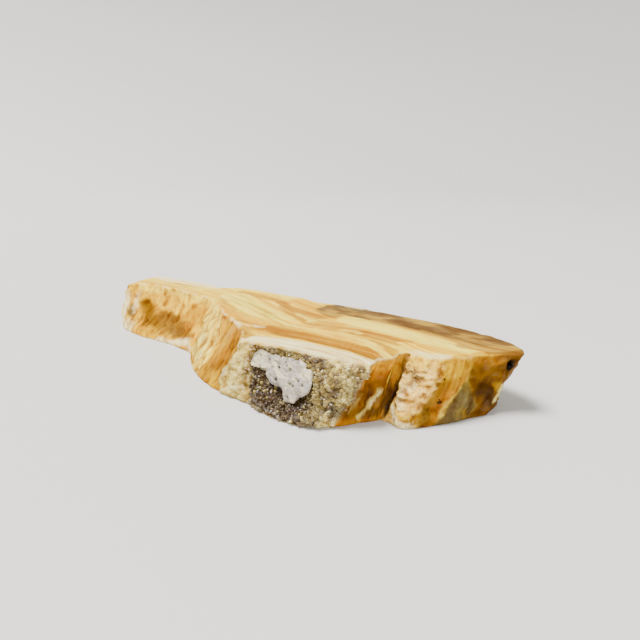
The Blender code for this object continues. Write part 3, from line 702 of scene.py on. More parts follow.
def line_distance(u, v, corners):
    """Distance from each point (u, v) to a broken line: the least of the distances to its runs,
    each measured at the nearest place along the run."""
    nearest = np.full(np.broadcast(u, v).shape, 1e6)
    for (u0, v0), (u1, v1) in zip(corners, corners[1:]):
        run_u = u1 - u0
        run_v = v1 - v0
        length = max(run_u * run_u + run_v * run_v, 1e-9)
        share = np.clip(((u - u0) * run_u + (v - v0) * run_v) / length, 0.0, 1.0)
        nearest = np.minimum(nearest, np.hypot(u - u0 - share * run_u, v - v0 - share * run_v))
    return nearest


def rim_scale(place, along):
    """Length along the top edge, in millimetres, of every rim corner and of the rim's end."""
    corners = np.arange(len(RIM) + 1)
    return np.interp(corners, np.append(place, len(RIM)), np.append(along, along[-1] + REAR_STEP))


def place_along(place, scale):
    """Length along the top edge at a place that is counted in rim corners."""
    return np.interp(place, np.arange(len(scale)), scale)


def border_along(name, depth, scale):
    """Length along the top edge at which a border runs, for every depth of the wall."""
    return place_along(np.interp(depth, *zip(*BORDERS[name])), scale)


def kind_shares(place, depth, scale):
    """How much each kind of stone has of every point of the wall: one between its two borders,
    easing to nothing over about a millimetre."""
    at = place_along(place, scale)
    shares = []
    for first, last, *_ in KINDS:
        share = np.ones(np.broadcast(place, depth).shape)
        for name, sign in ((first, 1.0), (last, -1.0)):
            if name is None:
                continue
            past = sign * (at - border_along(name, depth, scale))
            share = share * soft_step(past, -BORDER_EASE, BORDER_EASE)
        shares.append(share)
    return shares


def kind_value(shares, column):
    """One of the numbers of KINDS, spread over the wall by the kinds' shares."""
    return sum(share * kind[column] for share, kind in zip(shares, KINDS))


def ruffles(along, down):
    """Short ridges that run along the wall, shaken up and down; -1 to 1."""
    shaken = down + 0.5 * soft_noise(along / 1.1, down / 2.0, 38)
    return soft_noise(along / 1.7, shaken / 0.62, 39)


def fine_relief(depth, along, shares, scale):
    """Chips, ribs, lumps and pits finer than the part's own, in millimetres out of the wall."""
    down = depth * WALL_RUN
    sugar = kind_value(shares, SUGAR_COLUMN)
    ribs = kind_value(shares, RIB_COLUMN)
    lumps = kind_value(shares, LUMP_COLUMN)
    out = sugar * 0.55 * (chipped_noise(along / 1.6, down / 1.5, 31) - 0.4)
    out = out + sugar * 0.34 * (chipped_noise(along / 0.9 + 9.0, down / 0.85, 32) - 0.4)
    out = out + ribs * 0.2 * soft_noise(along / 1.1, down / 11.0, 33)
    out = out + ribs * 0.1 * soft_noise(along / 0.6, down / 6.0, 34)
    out = out + lumps * 0.55 * deep_noise(along / 2.6, down / 3.2, 35, 3)
    out = out + 0.07 * deep_noise(along / 0.9, down / 0.9, 36, 2)
    lobe = shares[LOBE] * soft_step(down, 1.5, 4.0) * soft_step(-down, -14.0, -12.0)
    out = out + lobe * 0.5 * ruffles(along, down)
    glass = shares[GLASS] + 0.6 * shares[AMBER]
    out = out + glass * 0.7 * (cell_distance(along / 3.6 + 2.0, down / 3.2, 37) - 0.5)
    groove = border_along("groove", depth, scale)
    out = out - 0.9 * np.exp(-((along - groove) / 0.6) ** 2)
    for hole_place, hole_down, half, deep in HOLES:
        hole_at = place_along(hole_place, scale)
        out = out - deep * np.exp(-(((along - hole_at) ** 2 + (down - hole_down) ** 2) / half ** 2) ** 2)
    ends = soft_step(depth, 0.0, 0.05) * soft_step(1.0 - depth, 0.0, 0.05)
    return out * ends


def pocket_frame():
    """The pocket's own axes as rows: X along the wall, Y up the wall and Z out of it."""
    up = np.array((0.0, WALL_LEAN, THICKNESS))
    up = up / np.linalg.norm(up)
    side = np.array((1.0, 0.0, 0.0))
    return np.stack((side, up, np.cross(side, up)))


def into_pocket(points):
    """Points in the part's frame, in millimetres, given in the pocket's own upright axes."""
    local = (points - np.array(POCKET_MIDDLE)) @ pocket_frame().T
    return np.stack((local[..., 0] + POCKET_SLANT * local[..., 1], local[..., 1], local[..., 2]), axis=-1)


def out_of_pocket(x, y, z):
    """The opposite of into_pocket."""
    local = np.stack((x - POCKET_SLANT * y, y, z), axis=-1)
    return local @ pocket_frame() + np.array(POCKET_MIDDLE)


def pocket_reach(x, y):
    """How far a point lies from the pocket's middle: one on its squarish, uneven outline."""
    angle = np.arctan2(y / POCKET_HALF_HEIGHT, x / POCKET_HALF_LENGTH)
    corner = np.abs(np.cos(angle)) ** POCKET_SQUARENESS + np.abs(np.sin(angle)) ** POCKET_SQUARENESS
    uneven = soft_noise(np.cos(angle) * 1.7 + 10.0, np.sin(angle) * 1.7 + 10.0, 14)
    outline = corner ** (-1.0 / POCKET_SQUARENESS) * (1.0 + 0.09 * uneven)
    return np.hypot(x / POCKET_HALF_LENGTH, y / POCKET_HALF_HEIGHT) / outline


def druse_front(x, y):
    """Height of the bowl that the crystals stand on, in the pocket's own axes."""
    floor = 1.0 + POCKET_FLOOR_RISE * np.clip(y / POCKET_HALF_HEIGHT, -1.0, 0.2)
    reach = pocket_reach(x, y)
    bowl = -DRUSE_RIM_BACK - DRUSE_BOWL * floor * (1.0 - np.clip(reach, 0.0, 1.0) ** 2)
    hollow_x, hollow_y, hollow_half, hollow_deep = DRUSE_HOLLOW
    near = ((x - hollow_x) ** 2 + (y - hollow_y) ** 2) / hollow_half ** 2
    return bowl - hollow_deep * np.exp(-near) * np.clip(1.25 - reach, 0.0, 1.0)


def slab_rows(along):
    """Where each row of the rim lies, from the polished top's edge to the sawn foot's edge: share
    of the way down and how far the edge's rounding draws it in. Both edges are quarter circles,
    and the top's is wider where it chipped."""
    chip = 1.0 + 2.0 * np.clip(soft_noise(along / 2.3, 0.4, 41), 0.0, 1.0)
    quarter = np.linspace(0.0, 0.5 * math.pi, 4)[:, None]
    top_round = TOP_EDGE_ROUND * chip[None, :]
    top_depth = top_round * (1.0 - np.cos(quarter)) / THICKNESS
    top_in = top_round * (1.0 - np.sin(quarter))
    foot_depth = 1.0 - FOOT_ROUND * (1.0 - np.sin(quarter)) / THICKNESS + 0.0 * chip[None, :]
    foot_in = FOOT_ROUND * (1.0 - np.cos(quarter)) + 0.0 * chip[None, :]
    share = (np.arange(WALL_ROWS)[:, None] + 1.0) / (WALL_ROWS + 1.0)
    wall_depth = top_depth[-1:] + (foot_depth[:1] - top_depth[-1:]) * share
    depth = np.concatenate((top_depth, wall_depth, foot_depth))
    drawn_in = np.concatenate((top_in, 0.0 * wall_depth, foot_in))
    return depth, drawn_in


Wall = namedtuple("Wall", "points place along depth shares scale stand")


def wall_grid(relief):
    """The rim as a grid of points, in millimetres: a straight line from the top edge to the foot,
    swollen half way down, moved outward by the coarse and fine relief, and pressed in to make
    room for the pocket's crystals. Stand is how far the fine relief rises over its surroundings."""
    top, foot, swell, place, along = rim_line()
    depth, drawn_in = slab_rows(along)
    scale = rim_scale(place, along)
    shares = kind_shares(place, depth, scale)
    away = outward((top + foot) / 2.0)
    plan = top[None] + (foot - top)[None] * depth[..., None]
    z = THICKNESS * (1.0 - depth)
    place = place[None, :]
    along = along[None, :]
    front = (along < FRONT_RUN).astype(float)
    out = swell * 4.0 * depth * (1.0 - depth)
    fine = relief * fine_relief(depth, along, shares, scale)
    out = out + coarse_relief(plan[..., 0], z, along, depth, front) + fine
    plan = plan + away[None] * (out - drawn_in)[..., None]
    points = np.concatenate((plan, z[..., None]), axis=-1)
    local = into_pocket(points)
    inside = soft_step(1.05 - pocket_reach(local[..., 0], local[..., 1]), 0.0, 0.09)
    inside = inside * (points[..., 1] < POCKET_FROM_Y) * soft_step(depth, 0.02, 0.06)
    target = druse_front(local[..., 0], local[..., 1]) - POCKET_BACKING
    deeper = np.minimum(target - local[..., 2], 0.0) * inside
    points = points + deeper[..., None] * pocket_frame()[2]
    stand = fine - ring_smooth(ring_smooth(fine, 3).T, 3).T
    return Wall(points, place, along, depth, shares, scale, stand)


def layer_height(x, y, z):
    """Which of the stone's layers a point lies in, in millimetres across them: the distance from
    a bent middle line, with the layers leaning forward on the way down."""
    middle = np.interp(x, *zip(*LAYER_LINE))
    return y - middle + LAYER_LEAN * (THICKNESS - z)


def blend_tone(colours, tone, share):
    """The colours moved towards a tone by a share."""
    return colours + (np.array(tone) - colours) * share[..., None]


def tint(colours, name, share):
    """The colours multiplied by one of TINTS, by a share."""
    return blend_tone(colours, colours * np.array(TINTS[name]), share)


def top_colours(x, y, tones):
    """The bands of the polished top: patches laid over each other, each full inside
    three quarters of its half width and gone at one and a quarter, on places
    shaken by noise that runs with the layers."""
    layer = layer_height(x, y, THICKNESS)
    shaken_y = y + 0.55 * soft_noise(x / 9.0, layer / 2.6, 51) + 0.3 * soft_noise(x / 3.4, layer / 1.2, 52)
    shaken_x = x + 1.2 * soft_noise(x / 6.0 + 5.0, layer / 1.5, 53)
    colours = np.broadcast_to(np.array(tones["cream"]), x.shape + (3,)).copy()
    broad = deep_noise(x / 26.0, layer / 2.4, 54, 3)
    colours = blend_tone(colours, tones["peach"], 0.55 * soft_step(broad, 0.05, 0.5))
    colours = blend_tone(colours, tones["light_cream"], 0.6 * soft_step(-broad, 0.05, 0.5))
    for tone, half_width, strength, corners in TOP_PATCHES:
        far = line_distance(shaken_x, shaken_y, corners) / half_width
        colours = blend_tone(colours, tones[tone], strength * soft_step(-far, -1.25, -0.75))
    thin = deep_noise(x / 17.0 + 4.0, layer / 0.75, 55, 3) * (0.6 + 0.4 * soft_step(-y, -19.0, -16.0))
    colours = tint(colours, "streak", 0.75 * soft_step(thin, 0.1, 0.5))
    colours = blend_tone(colours, tones["light_cream"], 0.26 * soft_step(-thin, 0.16, 0.62))
    rear = soft_step(y, 14.0, 18.0) * soft_step(x, 8.0, 13.0)
    cloud = deep_noise(x / 7.0 + 3.0, y / 3.4, 56, 4)
    colours = tint(colours, "cloud", 0.8 * rear * soft_step(cloud, 0.02, 0.4))
    return blend_tone(colours, tones["tan_pale"], 0.75 * rear * soft_step(-cloud, 0.0, 0.5))


def wall_colours(wall, tones):
    """The wall's colours: the top's bands carried down along the layers, under the tone of each kind of stone
    and the patches, then painted shade where the fine relief is low, in the lumps' hollows, the chinks and
    the ruffles' troughs, and painted highlight where it stands out and along the top edge."""
    points, _, along, depth, shares, scale, stand = wall
    down = depth * WALL_RUN
    carried = points[..., 1] + LAYER_LEAN * (THICKNESS - points[..., 2])
    colours = top_colours(points[..., 0], carried, tones)
    below = soft_step(depth, 0.0, 0.05)
    for share, kind in zip(shares, KINDS):
        keep = 0.62 if kind[0] is None or kind[1] is None else 0.9
        colours = blend_tone(colours, tones[kind[2]], share * keep * below)
    ribbed = kind_value(shares, RIB_COLUMN)
    rib = deep_noise(along / 1.3, down / 10.0, 61, 3)
    colours = tint(colours, "rib", ribbed * 0.6 * soft_step(rib, 0.1, 0.6) * below)
    colours = blend_tone(colours, tones["light_cream"], ribbed * 0.3 * soft_step(-rib, 0.2, 0.7) * below)
    # Painted shade in the hollows between the lumps, where the lump relief is low.
    hollow = deep_noise(along / 2.6, down / 3.2, 35, 3) * kind_value(shares, LUMP_COLUMN)
    colours = tint(colours, "crevice_shade", 0.8 * soft_step(-hollow, 0.22, 0.62) * below)
    at = along + 0.8 * deep_noise(along / 2.4, down / 2.6, 62, 3)
    low = down + 0.8 * deep_noise(along / 2.4 + 9.0, down / 2.6, 63, 3)
    at = at + 0.5 * deep_noise(along / 0.9, down / 1.2, 64, 2)
    low = low + 0.5 * deep_noise(along / 0.9 + 9.0, down / 1.2, 65, 2)
    for tone, half_width, strength, corners in WALL_PATCHES:
        line = [(place_along(spot, scale), share * WALL_RUN) for spot, share in corners]
        far = line_distance(at, low, line) / half_width
        blur = min(max(PATCH_EASE / half_width, 0.6), 0.95)
        share = strength * below * soft_step(-far, -1.0 - blur, blur - 1.0)
        colours = blend_tone(colours, tones[tone], share)
    mottle = deep_noise(along / 1.5, down / 2.1, 66, 3)
    veined = (1.0 - 0.6 * shares[GLASS]) * below
    colours = tint(colours, "mottle", 0.8 * veined * soft_step(mottle, 0.12, 0.5))
    colours = tint(colours, "bloom", veined * soft_step(-mottle, 0.12, 0.5))
    local = into_pocket(points)
    inside = soft_step(-pocket_reach(local[..., 0], local[..., 1]), -1.06, -0.98)
    inside = inside * (points[..., 1] < POCKET_FROM_Y)
    colours = blend_tone(colours, tones["druse_brown"], 0.9 * inside)
    sugar = kind_value(shares, SUGAR_COLUMN) * below
    # Painted shade in the chinks between the sugary chips and a painted highlight on their peaks, following
    # the chips of the fine relief.
    chip = chipped_noise(along / 1.6, down / 1.5, 31)
    colours = tint(colours, "chink_shade", sugar * 0.75 * soft_step(-chip, -0.42, -0.05))
    colours = blend_tone(colours, tones["sugar_white"], sugar * 0.4 * soft_step(chip, 0.62, 0.95))
    # Painted shade in the ruffles' troughs and a painted highlight on their crests, following the ruffled
    # relief.
    lobe = shares[LOBE] * below * soft_step(down, 1.5, 4.0) * soft_step(-down, -14.0, -12.0)
    ruffle = ruffles(along, down)
    colours = tint(colours, "ruffle", lobe * 0.35 * soft_step(-ruffle, 0.1, 0.6))
    colours = blend_tone(colours, tones["pink_white"], lobe * 0.6 * soft_step(ruffle, 0.15, 0.6))
    # Painted highlight along stretches of the wall's top edge.
    edge_highlight = soft_step(-depth, -0.05, -0.012) * soft_step(soft_noise(along / 2.1, 0.6, 67), -0.3, 0.3)
    colours = blend_tone(colours, tones["white_cream"], 0.5 * edge_highlight * (1.0 - shares[GLASS]))
    # Painted shade where the fine relief lies below its surroundings and painted highlight where it stands
    # above them.
    recess_shade_share = (0.85 - 0.45 * shares[GLASS]) * soft_step(-stand, 0.015, 0.16)
    colours = tint(colours, "low", recess_shade_share)
    colours = tint(colours, "high", soft_step(stand, 0.02, 0.18))
    bright = colours.mean(axis=-1)[..., None] + 0.04
    return blend_tone(colours, bright * np.array(REAR_TINT), 0.6 * shares[-1] * below)


def spine_points(along):
    """One point of the spine for each point of the rim, in millimetres, placed so that the lines
    from the spine to the rim never cross, also where the rim turns back."""
    runs, places = zip(*SPINE_STEPS)
    x = np.interp(along, (*runs, along[-1] - SPINE_LAST_RUN, along[-1]), (*places, *SPINE_LAST))
    return np.column_stack((x, np.interp(x, *zip(*SPINE))))


def slab_mesh_data(relief, tones):
    """All rows of the slab, from the top's spine over the rim to the foot's spine, with their
    colours, layer places and surface numbers (gloss, sugar, specks)."""
    grid = wall_grid(relief)
    wall, _, along, depth, shares, _, _ = grid
    spine = spine_points(along[0])
    share = (np.arange(TOP_ROWS)[:, None, None] + 0.4) / (TOP_ROWS + 0.4)
    top_plan = spine[None] + (wall[0, :, 0:2] - spine)[None] * share
    top = np.concatenate((top_plan, np.full(top_plan.shape[:2] + (1,), THICKNESS)), axis=-1)
    foot_spine = spine * np.array((FOOT_SPINE_SHARE, 1.0)) - np.array((0.0, FOOT_SPINE_FORWARD))
    share = 1.0 - (np.arange(FOOT_ROWS)[:, None, None] + 1.0) / (FOOT_ROWS + 0.4)
    foot_plan = foot_spine[None] + (wall[-1, :, 0:2] - foot_spine)[None] * share
    foot = np.concatenate((foot_plan, np.zeros(foot_plan.shape[:2] + (1,))), axis=-1)
    top_paint = top_colours(top[..., 0], top[..., 1], tones)
    wall_paint = wall_colours(grid, tones)
    foot_paint = top_colours(foot[..., 0], foot[..., 1] + LAYER_LEAN * THICKNESS, tones)
    below = soft_step(depth, 0.0, 0.04)
    columns = (GLOSS_COLUMN, SUGAR_COLUMN, SPECK_COLUMN)
    wall_surface = np.stack([kind_value(shares, column) * below for column in columns], axis=-1)
    wall_surface[..., 0] += (1.0 - below) * POLISH
    speckled = 0.8 * soft_step(top[..., 0], 60.0, 66.0)
    top_surface = np.stack((np.full(speckled.shape, POLISH), 0.0 * speckled, speckled), axis=-1)
    foot_surface = np.tile((0.3, 0.1, 0.0), foot.shape[:2] + (1,))
    down = depth * WALL_RUN
    ribbed = soft_step(kind_value(shares, RIB_COLUMN), 0.4, 0.6) * soft_step(depth, 0.0, 0.02)
    wall_layer = layer_height(wall[..., 0], wall[..., 1], wall[..., 2])
    wall_layers = np.stack((
        wall[..., 0] + (down - wall[..., 0]) * ribbed,
        wall_layer + (along - wall_layer) * ribbed,
        0.0 * down,
    ), axis=-1)
    flat_layers = []
    for part in (top, foot):
        across = layer_height(part[..., 0], part[..., 1], part[..., 2])
        flat_layers.append(np.stack((part[..., 0], across, 0.0 * across), axis=-1))
    points = np.concatenate((top, wall, foot))
    paint = np.concatenate((top_paint, wall_paint, foot_paint))
    surface = np.concatenate((top_surface, wall_surface, foot_surface))
    layers = np.concatenate((flat_layers[0], wall_layers, flat_layers[1]))
    return points, paint, surface, layers


def grid_faces(rows, columns):
    """Four-cornered faces of a grid that closes on itself along its rows, as whole arrays."""
    row, column = np.meshgrid(np.arange(rows - 1), np.arange(columns), indexing="ij")
    ahead = (column + 1) % columns
    corners = (row * columns + column, (row + 1) * columns + column, (row + 1) * columns + ahead,
               row * columns + ahead)
    return np.stack(corners, axis=-1).reshape(-1, 4)


def make_piece(name, points, faces, finish, colours=None, vectors=None):
    """A mesh object at the origin from points in millimetres, with its colour and vector
    attributes, one value for each point."""
    mesh = bpy.data.meshes.new(name)
    mesh.from_pydata((points * MM).tolist(), [], faces)
    mesh.validate()
    mesh.update()
    if colours is not None:
        entry = mesh.color_attributes.new(name="paint", type="FLOAT_COLOR", domain="POINT")
        full = np.column_stack((np.clip(colours, 0.0, 1.0), np.ones(len(colours))))
        entry.data.foreach_set("color", full.astype(np.float32).ravel())
    for label, values in (vectors or {}).items():
        entry = mesh.attributes.new(label, "FLOAT_VECTOR", "POINT")
        entry.data.foreach_set("vector", values.astype(np.float32).ravel())
    mesh.materials.append(finish)
    piece = bpy.data.objects.new(name, mesh)
    bpy.context.scene.collection.objects.link(piece)
    return piece


def closed_tube(rows, columns):
    """Faces of a grid whose first and last rows each close on one point, placed after the grid."""
    faces = grid_faces(rows, columns).tolist()
    first_pole = rows * columns
    ring = np.arange(columns)
    ahead = (ring + 1) % columns
    opening = np.stack((np.full(columns, first_pole), ring, ahead), axis=-1)
    last = (rows - 1) * columns
    closing = np.stack((last + ahead, last + ring, np.full(columns, first_pole + 1)), axis=-1)
    return faces + opening.tolist() + closing.tolist()


def crystal_points(roots, axes, widths, heights, dice):
    """Six-sided crystals with pointed tips, all at once: rings of six corners round each axis at
    the root and at the shoulder, turned at random, and one corner at the tip."""
    count = len(roots)
    axes = axes / np.linalg.norm(axes, axis=1)[:, None]
    helper = np.where(np.abs(axes[:, 0:1]) > 0.7, (0.0, 1.0, 0.0), (1.0, 0.0, 0.0))
    side = np.cross(axes, helper)
    side = side / np.linalg.norm(side, axis=1)[:, None]
    across = np.cross(axes, side)
    turn = dice.uniform(0.0, FULL_TURN, (count, 1)) + np.arange(6)[None, :] * FULL_TURN / 6.0
    ring = side[:, None] * np.cos(turn)[..., None] + across[:, None] * np.sin(turn)[..., None]
    ring = ring * (widths[:, None] * dice.uniform(0.42, 0.58, (count, 6)))[..., None]
    root = roots[:, None] + ring - axes[:, None] * (0.35 * widths)[:, None, None]
    shoulder_share = dice.uniform(0.3, 0.75, count)
    shoulder = roots[:, None] + ring * 0.92 + axes[:, None] * (heights * shoulder_share)[:, None, None]
    tip = roots[:, None] + axes[:, None] * heights[:, None, None]
    tip = tip + ring[:, 0:1] * dice.uniform(-0.3, 0.3, (count, 1, 1))
    return np.concatenate((root, shoulder, tip), axis=1)


def crystal_faces(count, start):
    """The faces of crystal_points: six sides, six tip faces and a root of six corners each."""
    faces = []
    ring = np.arange(6)
    ahead = (ring + 1) % 6
    base = start + CRYSTAL_CORNERS * np.arange(count)[:, None, None]
    sides = np.stack((ring, ahead, ahead + 6, ring + 6), axis=-1)[None] + base
    tips = np.stack((ring + 6, ahead + 6, np.full(6, 12)), axis=-1)[None] + base
    roots = np.arange(5, -1, -1)[None, :] + base[:, 0]
    faces.extend(sides.reshape(-1, 4).tolist())
    faces.extend(tips.reshape(-1, 3).tolist())
    faces.extend(roots.tolist())
    return faces


def chalcedony_outline():
    """The skin's rim: corners cut once, joined evenly by whole arrays and shaken by fine noise."""
    corners = np.array(CHALCEDONY_OUTLINE)
    ahead = np.roll(corners, -1, axis=0)
    rim = np.stack((0.75 * corners + 0.25 * ahead, 0.25 * corners + 0.75 * ahead), axis=1).reshape(-1, 2)
    closed = np.vstack((rim, rim[:1]))
    run = np.concatenate(([0.0], np.cumsum(np.linalg.norm(np.diff(closed, axis=0), axis=1))))
    even = np.linspace(0.0, run[-1], SKIN_COLUMNS, endpoint=False)
    x = np.interp(even, run, closed[:, 0])
    y = np.interp(even, run, closed[:, 1])
    from_middle = np.column_stack((x, y)) - np.array(CHALCEDONY_MIDDLE)
    turn = even / run[-1] * FULL_TURN
    shake = soft_noise(np.cos(turn) * 9.0 + 20.0, np.sin(turn) * 9.0 + 20.0, 71)
    far = np.linalg.norm(from_middle, axis=1)
    shake = shake + 0.5 * soft_noise(np.cos(turn) * 24.0 + 30.0, np.sin(turn) * 24.0 + 30.0, 70)
    return from_middle * (1.0 + 0.34 * shake / np.maximum(far, 1.0))[:, None]


def skin_data(tones):
    """The grey skin as rings from its middle over the front to the rim and back behind: a plate that rounds
    off at its rim, covered in small round lumps, with pits pressed into it and darkened with painted shade."""
    rim = chalcedony_outline()
    share = np.concatenate((np.linspace(0.04, 1.0, SKIN_ROWS), np.linspace(0.93, 0.1, 9)))
    x = CHALCEDONY_MIDDLE[0] + rim[None, :, 0] * share[:, None]
    y = CHALCEDONY_MIDDLE[1] + rim[None, :, 1] * share[:, None]
    edge = np.sqrt(np.clip(1.0 - share ** 4, 0.0, 1.0))[:, None]
    back = druse_front(x, y) + 0.3
    middle = 0.5 * (back + CHALCEDONY_FRONT)
    half = np.maximum(CHALCEDONY_FRONT - middle, 0.2)
    lumps = 0.24 * soft_noise(x / 1.7 + 14.0, y / 1.7 + 16.0, 12)
    grape = 0.2 * (0.6 - cell_distance(x / 1.1 + 30.0, y / 1.1 + 30.0, 72))
    grape = grape + 0.16 * (0.6 - cell_distance(x / 0.42 + 30.0, y / 0.42 + 30.0, 73))
    grape = grape + 0.16 * deep_noise(x / 0.6, y / 0.6, 79, 2)
    bent_x = x + 0.22 * soft_noise(x / 0.4, y / 0.4, 77)
    bent_y = y + 0.22 * soft_noise(x / 0.4 + 9.0, y / 0.4, 78)
    small_pit = soft_step(-cell_distance(bent_x / 1.15 + 8.0, bent_y / 1.15 + 8.0, 74), -0.17, -0.07)
    small_pit = small_pit * (soft_noise(x / 1.9 + 3.0, y / 1.9, 75) > 0.1)
    face = middle + half * edge + edge * (lumps + grape) - 0.3 * small_pit * edge
    # The pits are painted dark: painted shade in them.
    dark = 0.75 * small_pit
    for pit_x, pit_y, pit_size in CHALCEDONY_PITS:
        near = np.exp(-(((bent_x - pit_x) ** 2 + (bent_y - pit_y) ** 2) / (0.8 * pit_size) ** 2) ** 1.5)
        face = face - 0.7 * near
        dark = np.maximum(dark, near)
    rear = middle - half * edge
    is_front = (np.arange(len(share)) < SKIN_ROWS)[:, None]
    z = np.where(is_front, np.maximum(face, rear + 0.1), rear - 0.1)
    colours = np.broadcast_to(np.array(tones["skin"]), x.shape + (3,)).copy()
    mottle = deep_noise(x / 1.5, y / 1.5, 76, 3)
    colours = blend_tone(colours, tones["skin_pale"], 0.7 * soft_step(mottle, 0.0, 0.5))
    colours = blend_tone(colours, tones["skin_pale"], 0.6 * soft_step(-x, 4.5, 7.5))
    colours = blend_tone(colours, tones["skin_green"], 0.35 * soft_step(-mottle, 0.1, 0.6))
    low = soft_step(-cell_distance(x / 0.95 + 30.0, y / 0.95 + 30.0, 72), -0.75, -0.5)
    colours = blend_tone(colours, tones["skin_shade"], 0.55 * (1.0 - low))
    colours = blend_tone(colours, tones["pit_shade"], 0.85 * dark)
    points = out_of_pocket(x, y, z)
    poles = out_of_pocket(
        np.full(2, CHALCEDONY_MIDDLE[0]), np.full(2, CHALCEDONY_MIDDLE[1]),
        np.array((z[0].mean(), z[-1].mean()))
    )
    points = np.vstack((points.reshape(-1, 3), poles))
    colours = np.vstack((colours.reshape(-1, 3), colours[0, :1], colours[-1, :1]))
    return points, colours, closed_tube(len(share), SKIN_COLUMNS)


def skin_covers(x, y, margin):
    """True where the grey skin lies over a point, or within a margin of it."""
    rim = chalcedony_outline()
    turn = np.arctan2(rim[:, 1], rim[:, 0])
    order = np.argsort(turn)
    far = np.hypot(rim[:, 0], rim[:, 1])[order]
    from_x = x - CHALCEDONY_MIDDLE[0]
    from_y = y - CHALCEDONY_MIDDLE[1]
    reach = np.interp(np.arctan2(from_y, from_x), turn[order], far, period=FULL_TURN)
    return np.hypot(from_x, from_y) < reach + margin


def druse_colours(x, y, dice, tones):
    """Brown on the left and low in the pocket, beige towards the top and the right, with painted shade in the
    hollow and a painted shadow under the grey skin.
    """
    pale = soft_step(x + 0.5 * y + dice.uniform(-2.5, 2.5, x.shape), 2.0, 8.5)
    top = soft_step(y + dice.uniform(-1.0, 1.0, x.shape), 4.4, 6.6)
    colours = np.broadcast_to(np.array(tones["druse_brown"]), x.shape + (3,)).copy()
    colours = blend_tone(colours, tones["dark_brown"], 0.6 * dice.uniform(0.0, 1.0, x.shape) ** 2)
    colours = blend_tone(colours, tones["sugar"], np.maximum(pale, 0.8 * top))
    # Painted shade in the pocket's hollow, and a painted shadow under the grey skin's lower edge and a margin
    # round it.
    hollow_x, hollow_y, hollow_half, _ = DRUSE_HOLLOW
    near = np.exp(-((x - hollow_x) ** 2 + ((y - hollow_y) * 1.6) ** 2) / (hollow_half * 1.2) ** 2)
    under = skin_covers(x, y, 0.9) & (y < 3.6)
    colours = blend_tone(colours, tones["dark_brown"], np.maximum(0.85 * near, 0.6 * under))
    light = dice.uniform(0.0, 1.0, x.shape) > 0.9
    return blend_tone(colours, tones["sugar_white"], 0.45 * light)


def druse_sheet(tones):
    """The crust that the crystals stand on: the bowl's front, uneven, tucked under the stone at
    its rim and closed behind."""
    turn = np.linspace(0.0, FULL_TURN, SHEET_COLUMNS, endpoint=False)[None, :]
    share = np.concatenate((np.linspace(0.03, 1.04, SHEET_ROWS), np.linspace(0.96, 0.1, 6)))[:, None]
    unit_x = np.cos(turn) * POCKET_HALF_LENGTH
    unit_y = np.sin(turn) * POCKET_HALF_HEIGHT
    stretch = share / pocket_reach(unit_x, unit_y)
    x = unit_x * stretch
    y = unit_y * stretch
    rough = 0.34 * (chipped_noise(x / 0.9, y / 0.9, 81) - 0.4) + 0.3 * soft_noise(x / 1.9, y / 1.9, 82)
    z = druse_front(x, y) + rough - 1.3 * soft_step(share, 0.95, 1.04)
    behind = (np.arange(len(share)) >= SHEET_ROWS)[:, None]
    z = np.where(behind, druse_front(x, y) - 1.6, z)
    dice = np.random.RandomState(83)
    colours = druse_colours(x, y, dice, tones) * 0.75
    points = out_of_pocket(x, y, z)
    middle = out_of_pocket(np.zeros(2), np.zeros(2), np.array((z[0].mean(), z[-1].mean())))
    points = np.vstack((points.reshape(-1, 3), middle))
    points[:, 2] = np.maximum(points[:, 2], 0.0)
    colours = np.vstack((colours.reshape(-1, 3), colours[0, :1], colours[-1, :1]))
    return points, colours, closed_tube(len(share), SHEET_COLUMNS)


def druse_crystals(count, tones):
    """Roots scattered over the bowl where the grey skin leaves it bare, tips leaning to its middle."""
    dice = np.random.RandomState(84)
    x = dice.uniform(-1.15, 1.15, count * 3) * POCKET_HALF_LENGTH
    y = dice.uniform(-1.1, 1.1, count * 3) * POCKET_HALF_HEIGHT
    keep = (pocket_reach(x, y) < 0.98) & ~skin_covers(x, y, 0.1)
    x = x[keep][:count]
    y = y[keep][:count]
    z = druse_front(x, y)
    roots = out_of_pocket(x, y, z)
    lean_x = dice.normal(0.0, 0.45, len(x)) - 0.03 * x
    lean_y = dice.normal(0.0, 0.45, len(x)) - 0.03 * y
    lean = np.column_stack((lean_x, lean_y, np.ones(len(x))))
    axes = lean @ pocket_frame()
    widths = CRYSTAL_WIDTH[0] + (CRYSTAL_WIDTH[1] - CRYSTAL_WIDTH[0]) * dice.uniform(0.0, 1.0, len(x)) ** 1.6
    heights = widths * dice.uniform(0.7, 1.7, len(x))
    points = crystal_points(roots, axes, widths, heights, dice)
    points[..., 2] = np.maximum(points[..., 2], 0.0)
    colours = druse_colours(x, y, dice, tones) * dice.uniform(0.6, 1.25, len(x))[:, None]
    return points.reshape(-1, 3), np.repeat(colours, CRYSTAL_CORNERS, axis=0), len(x)


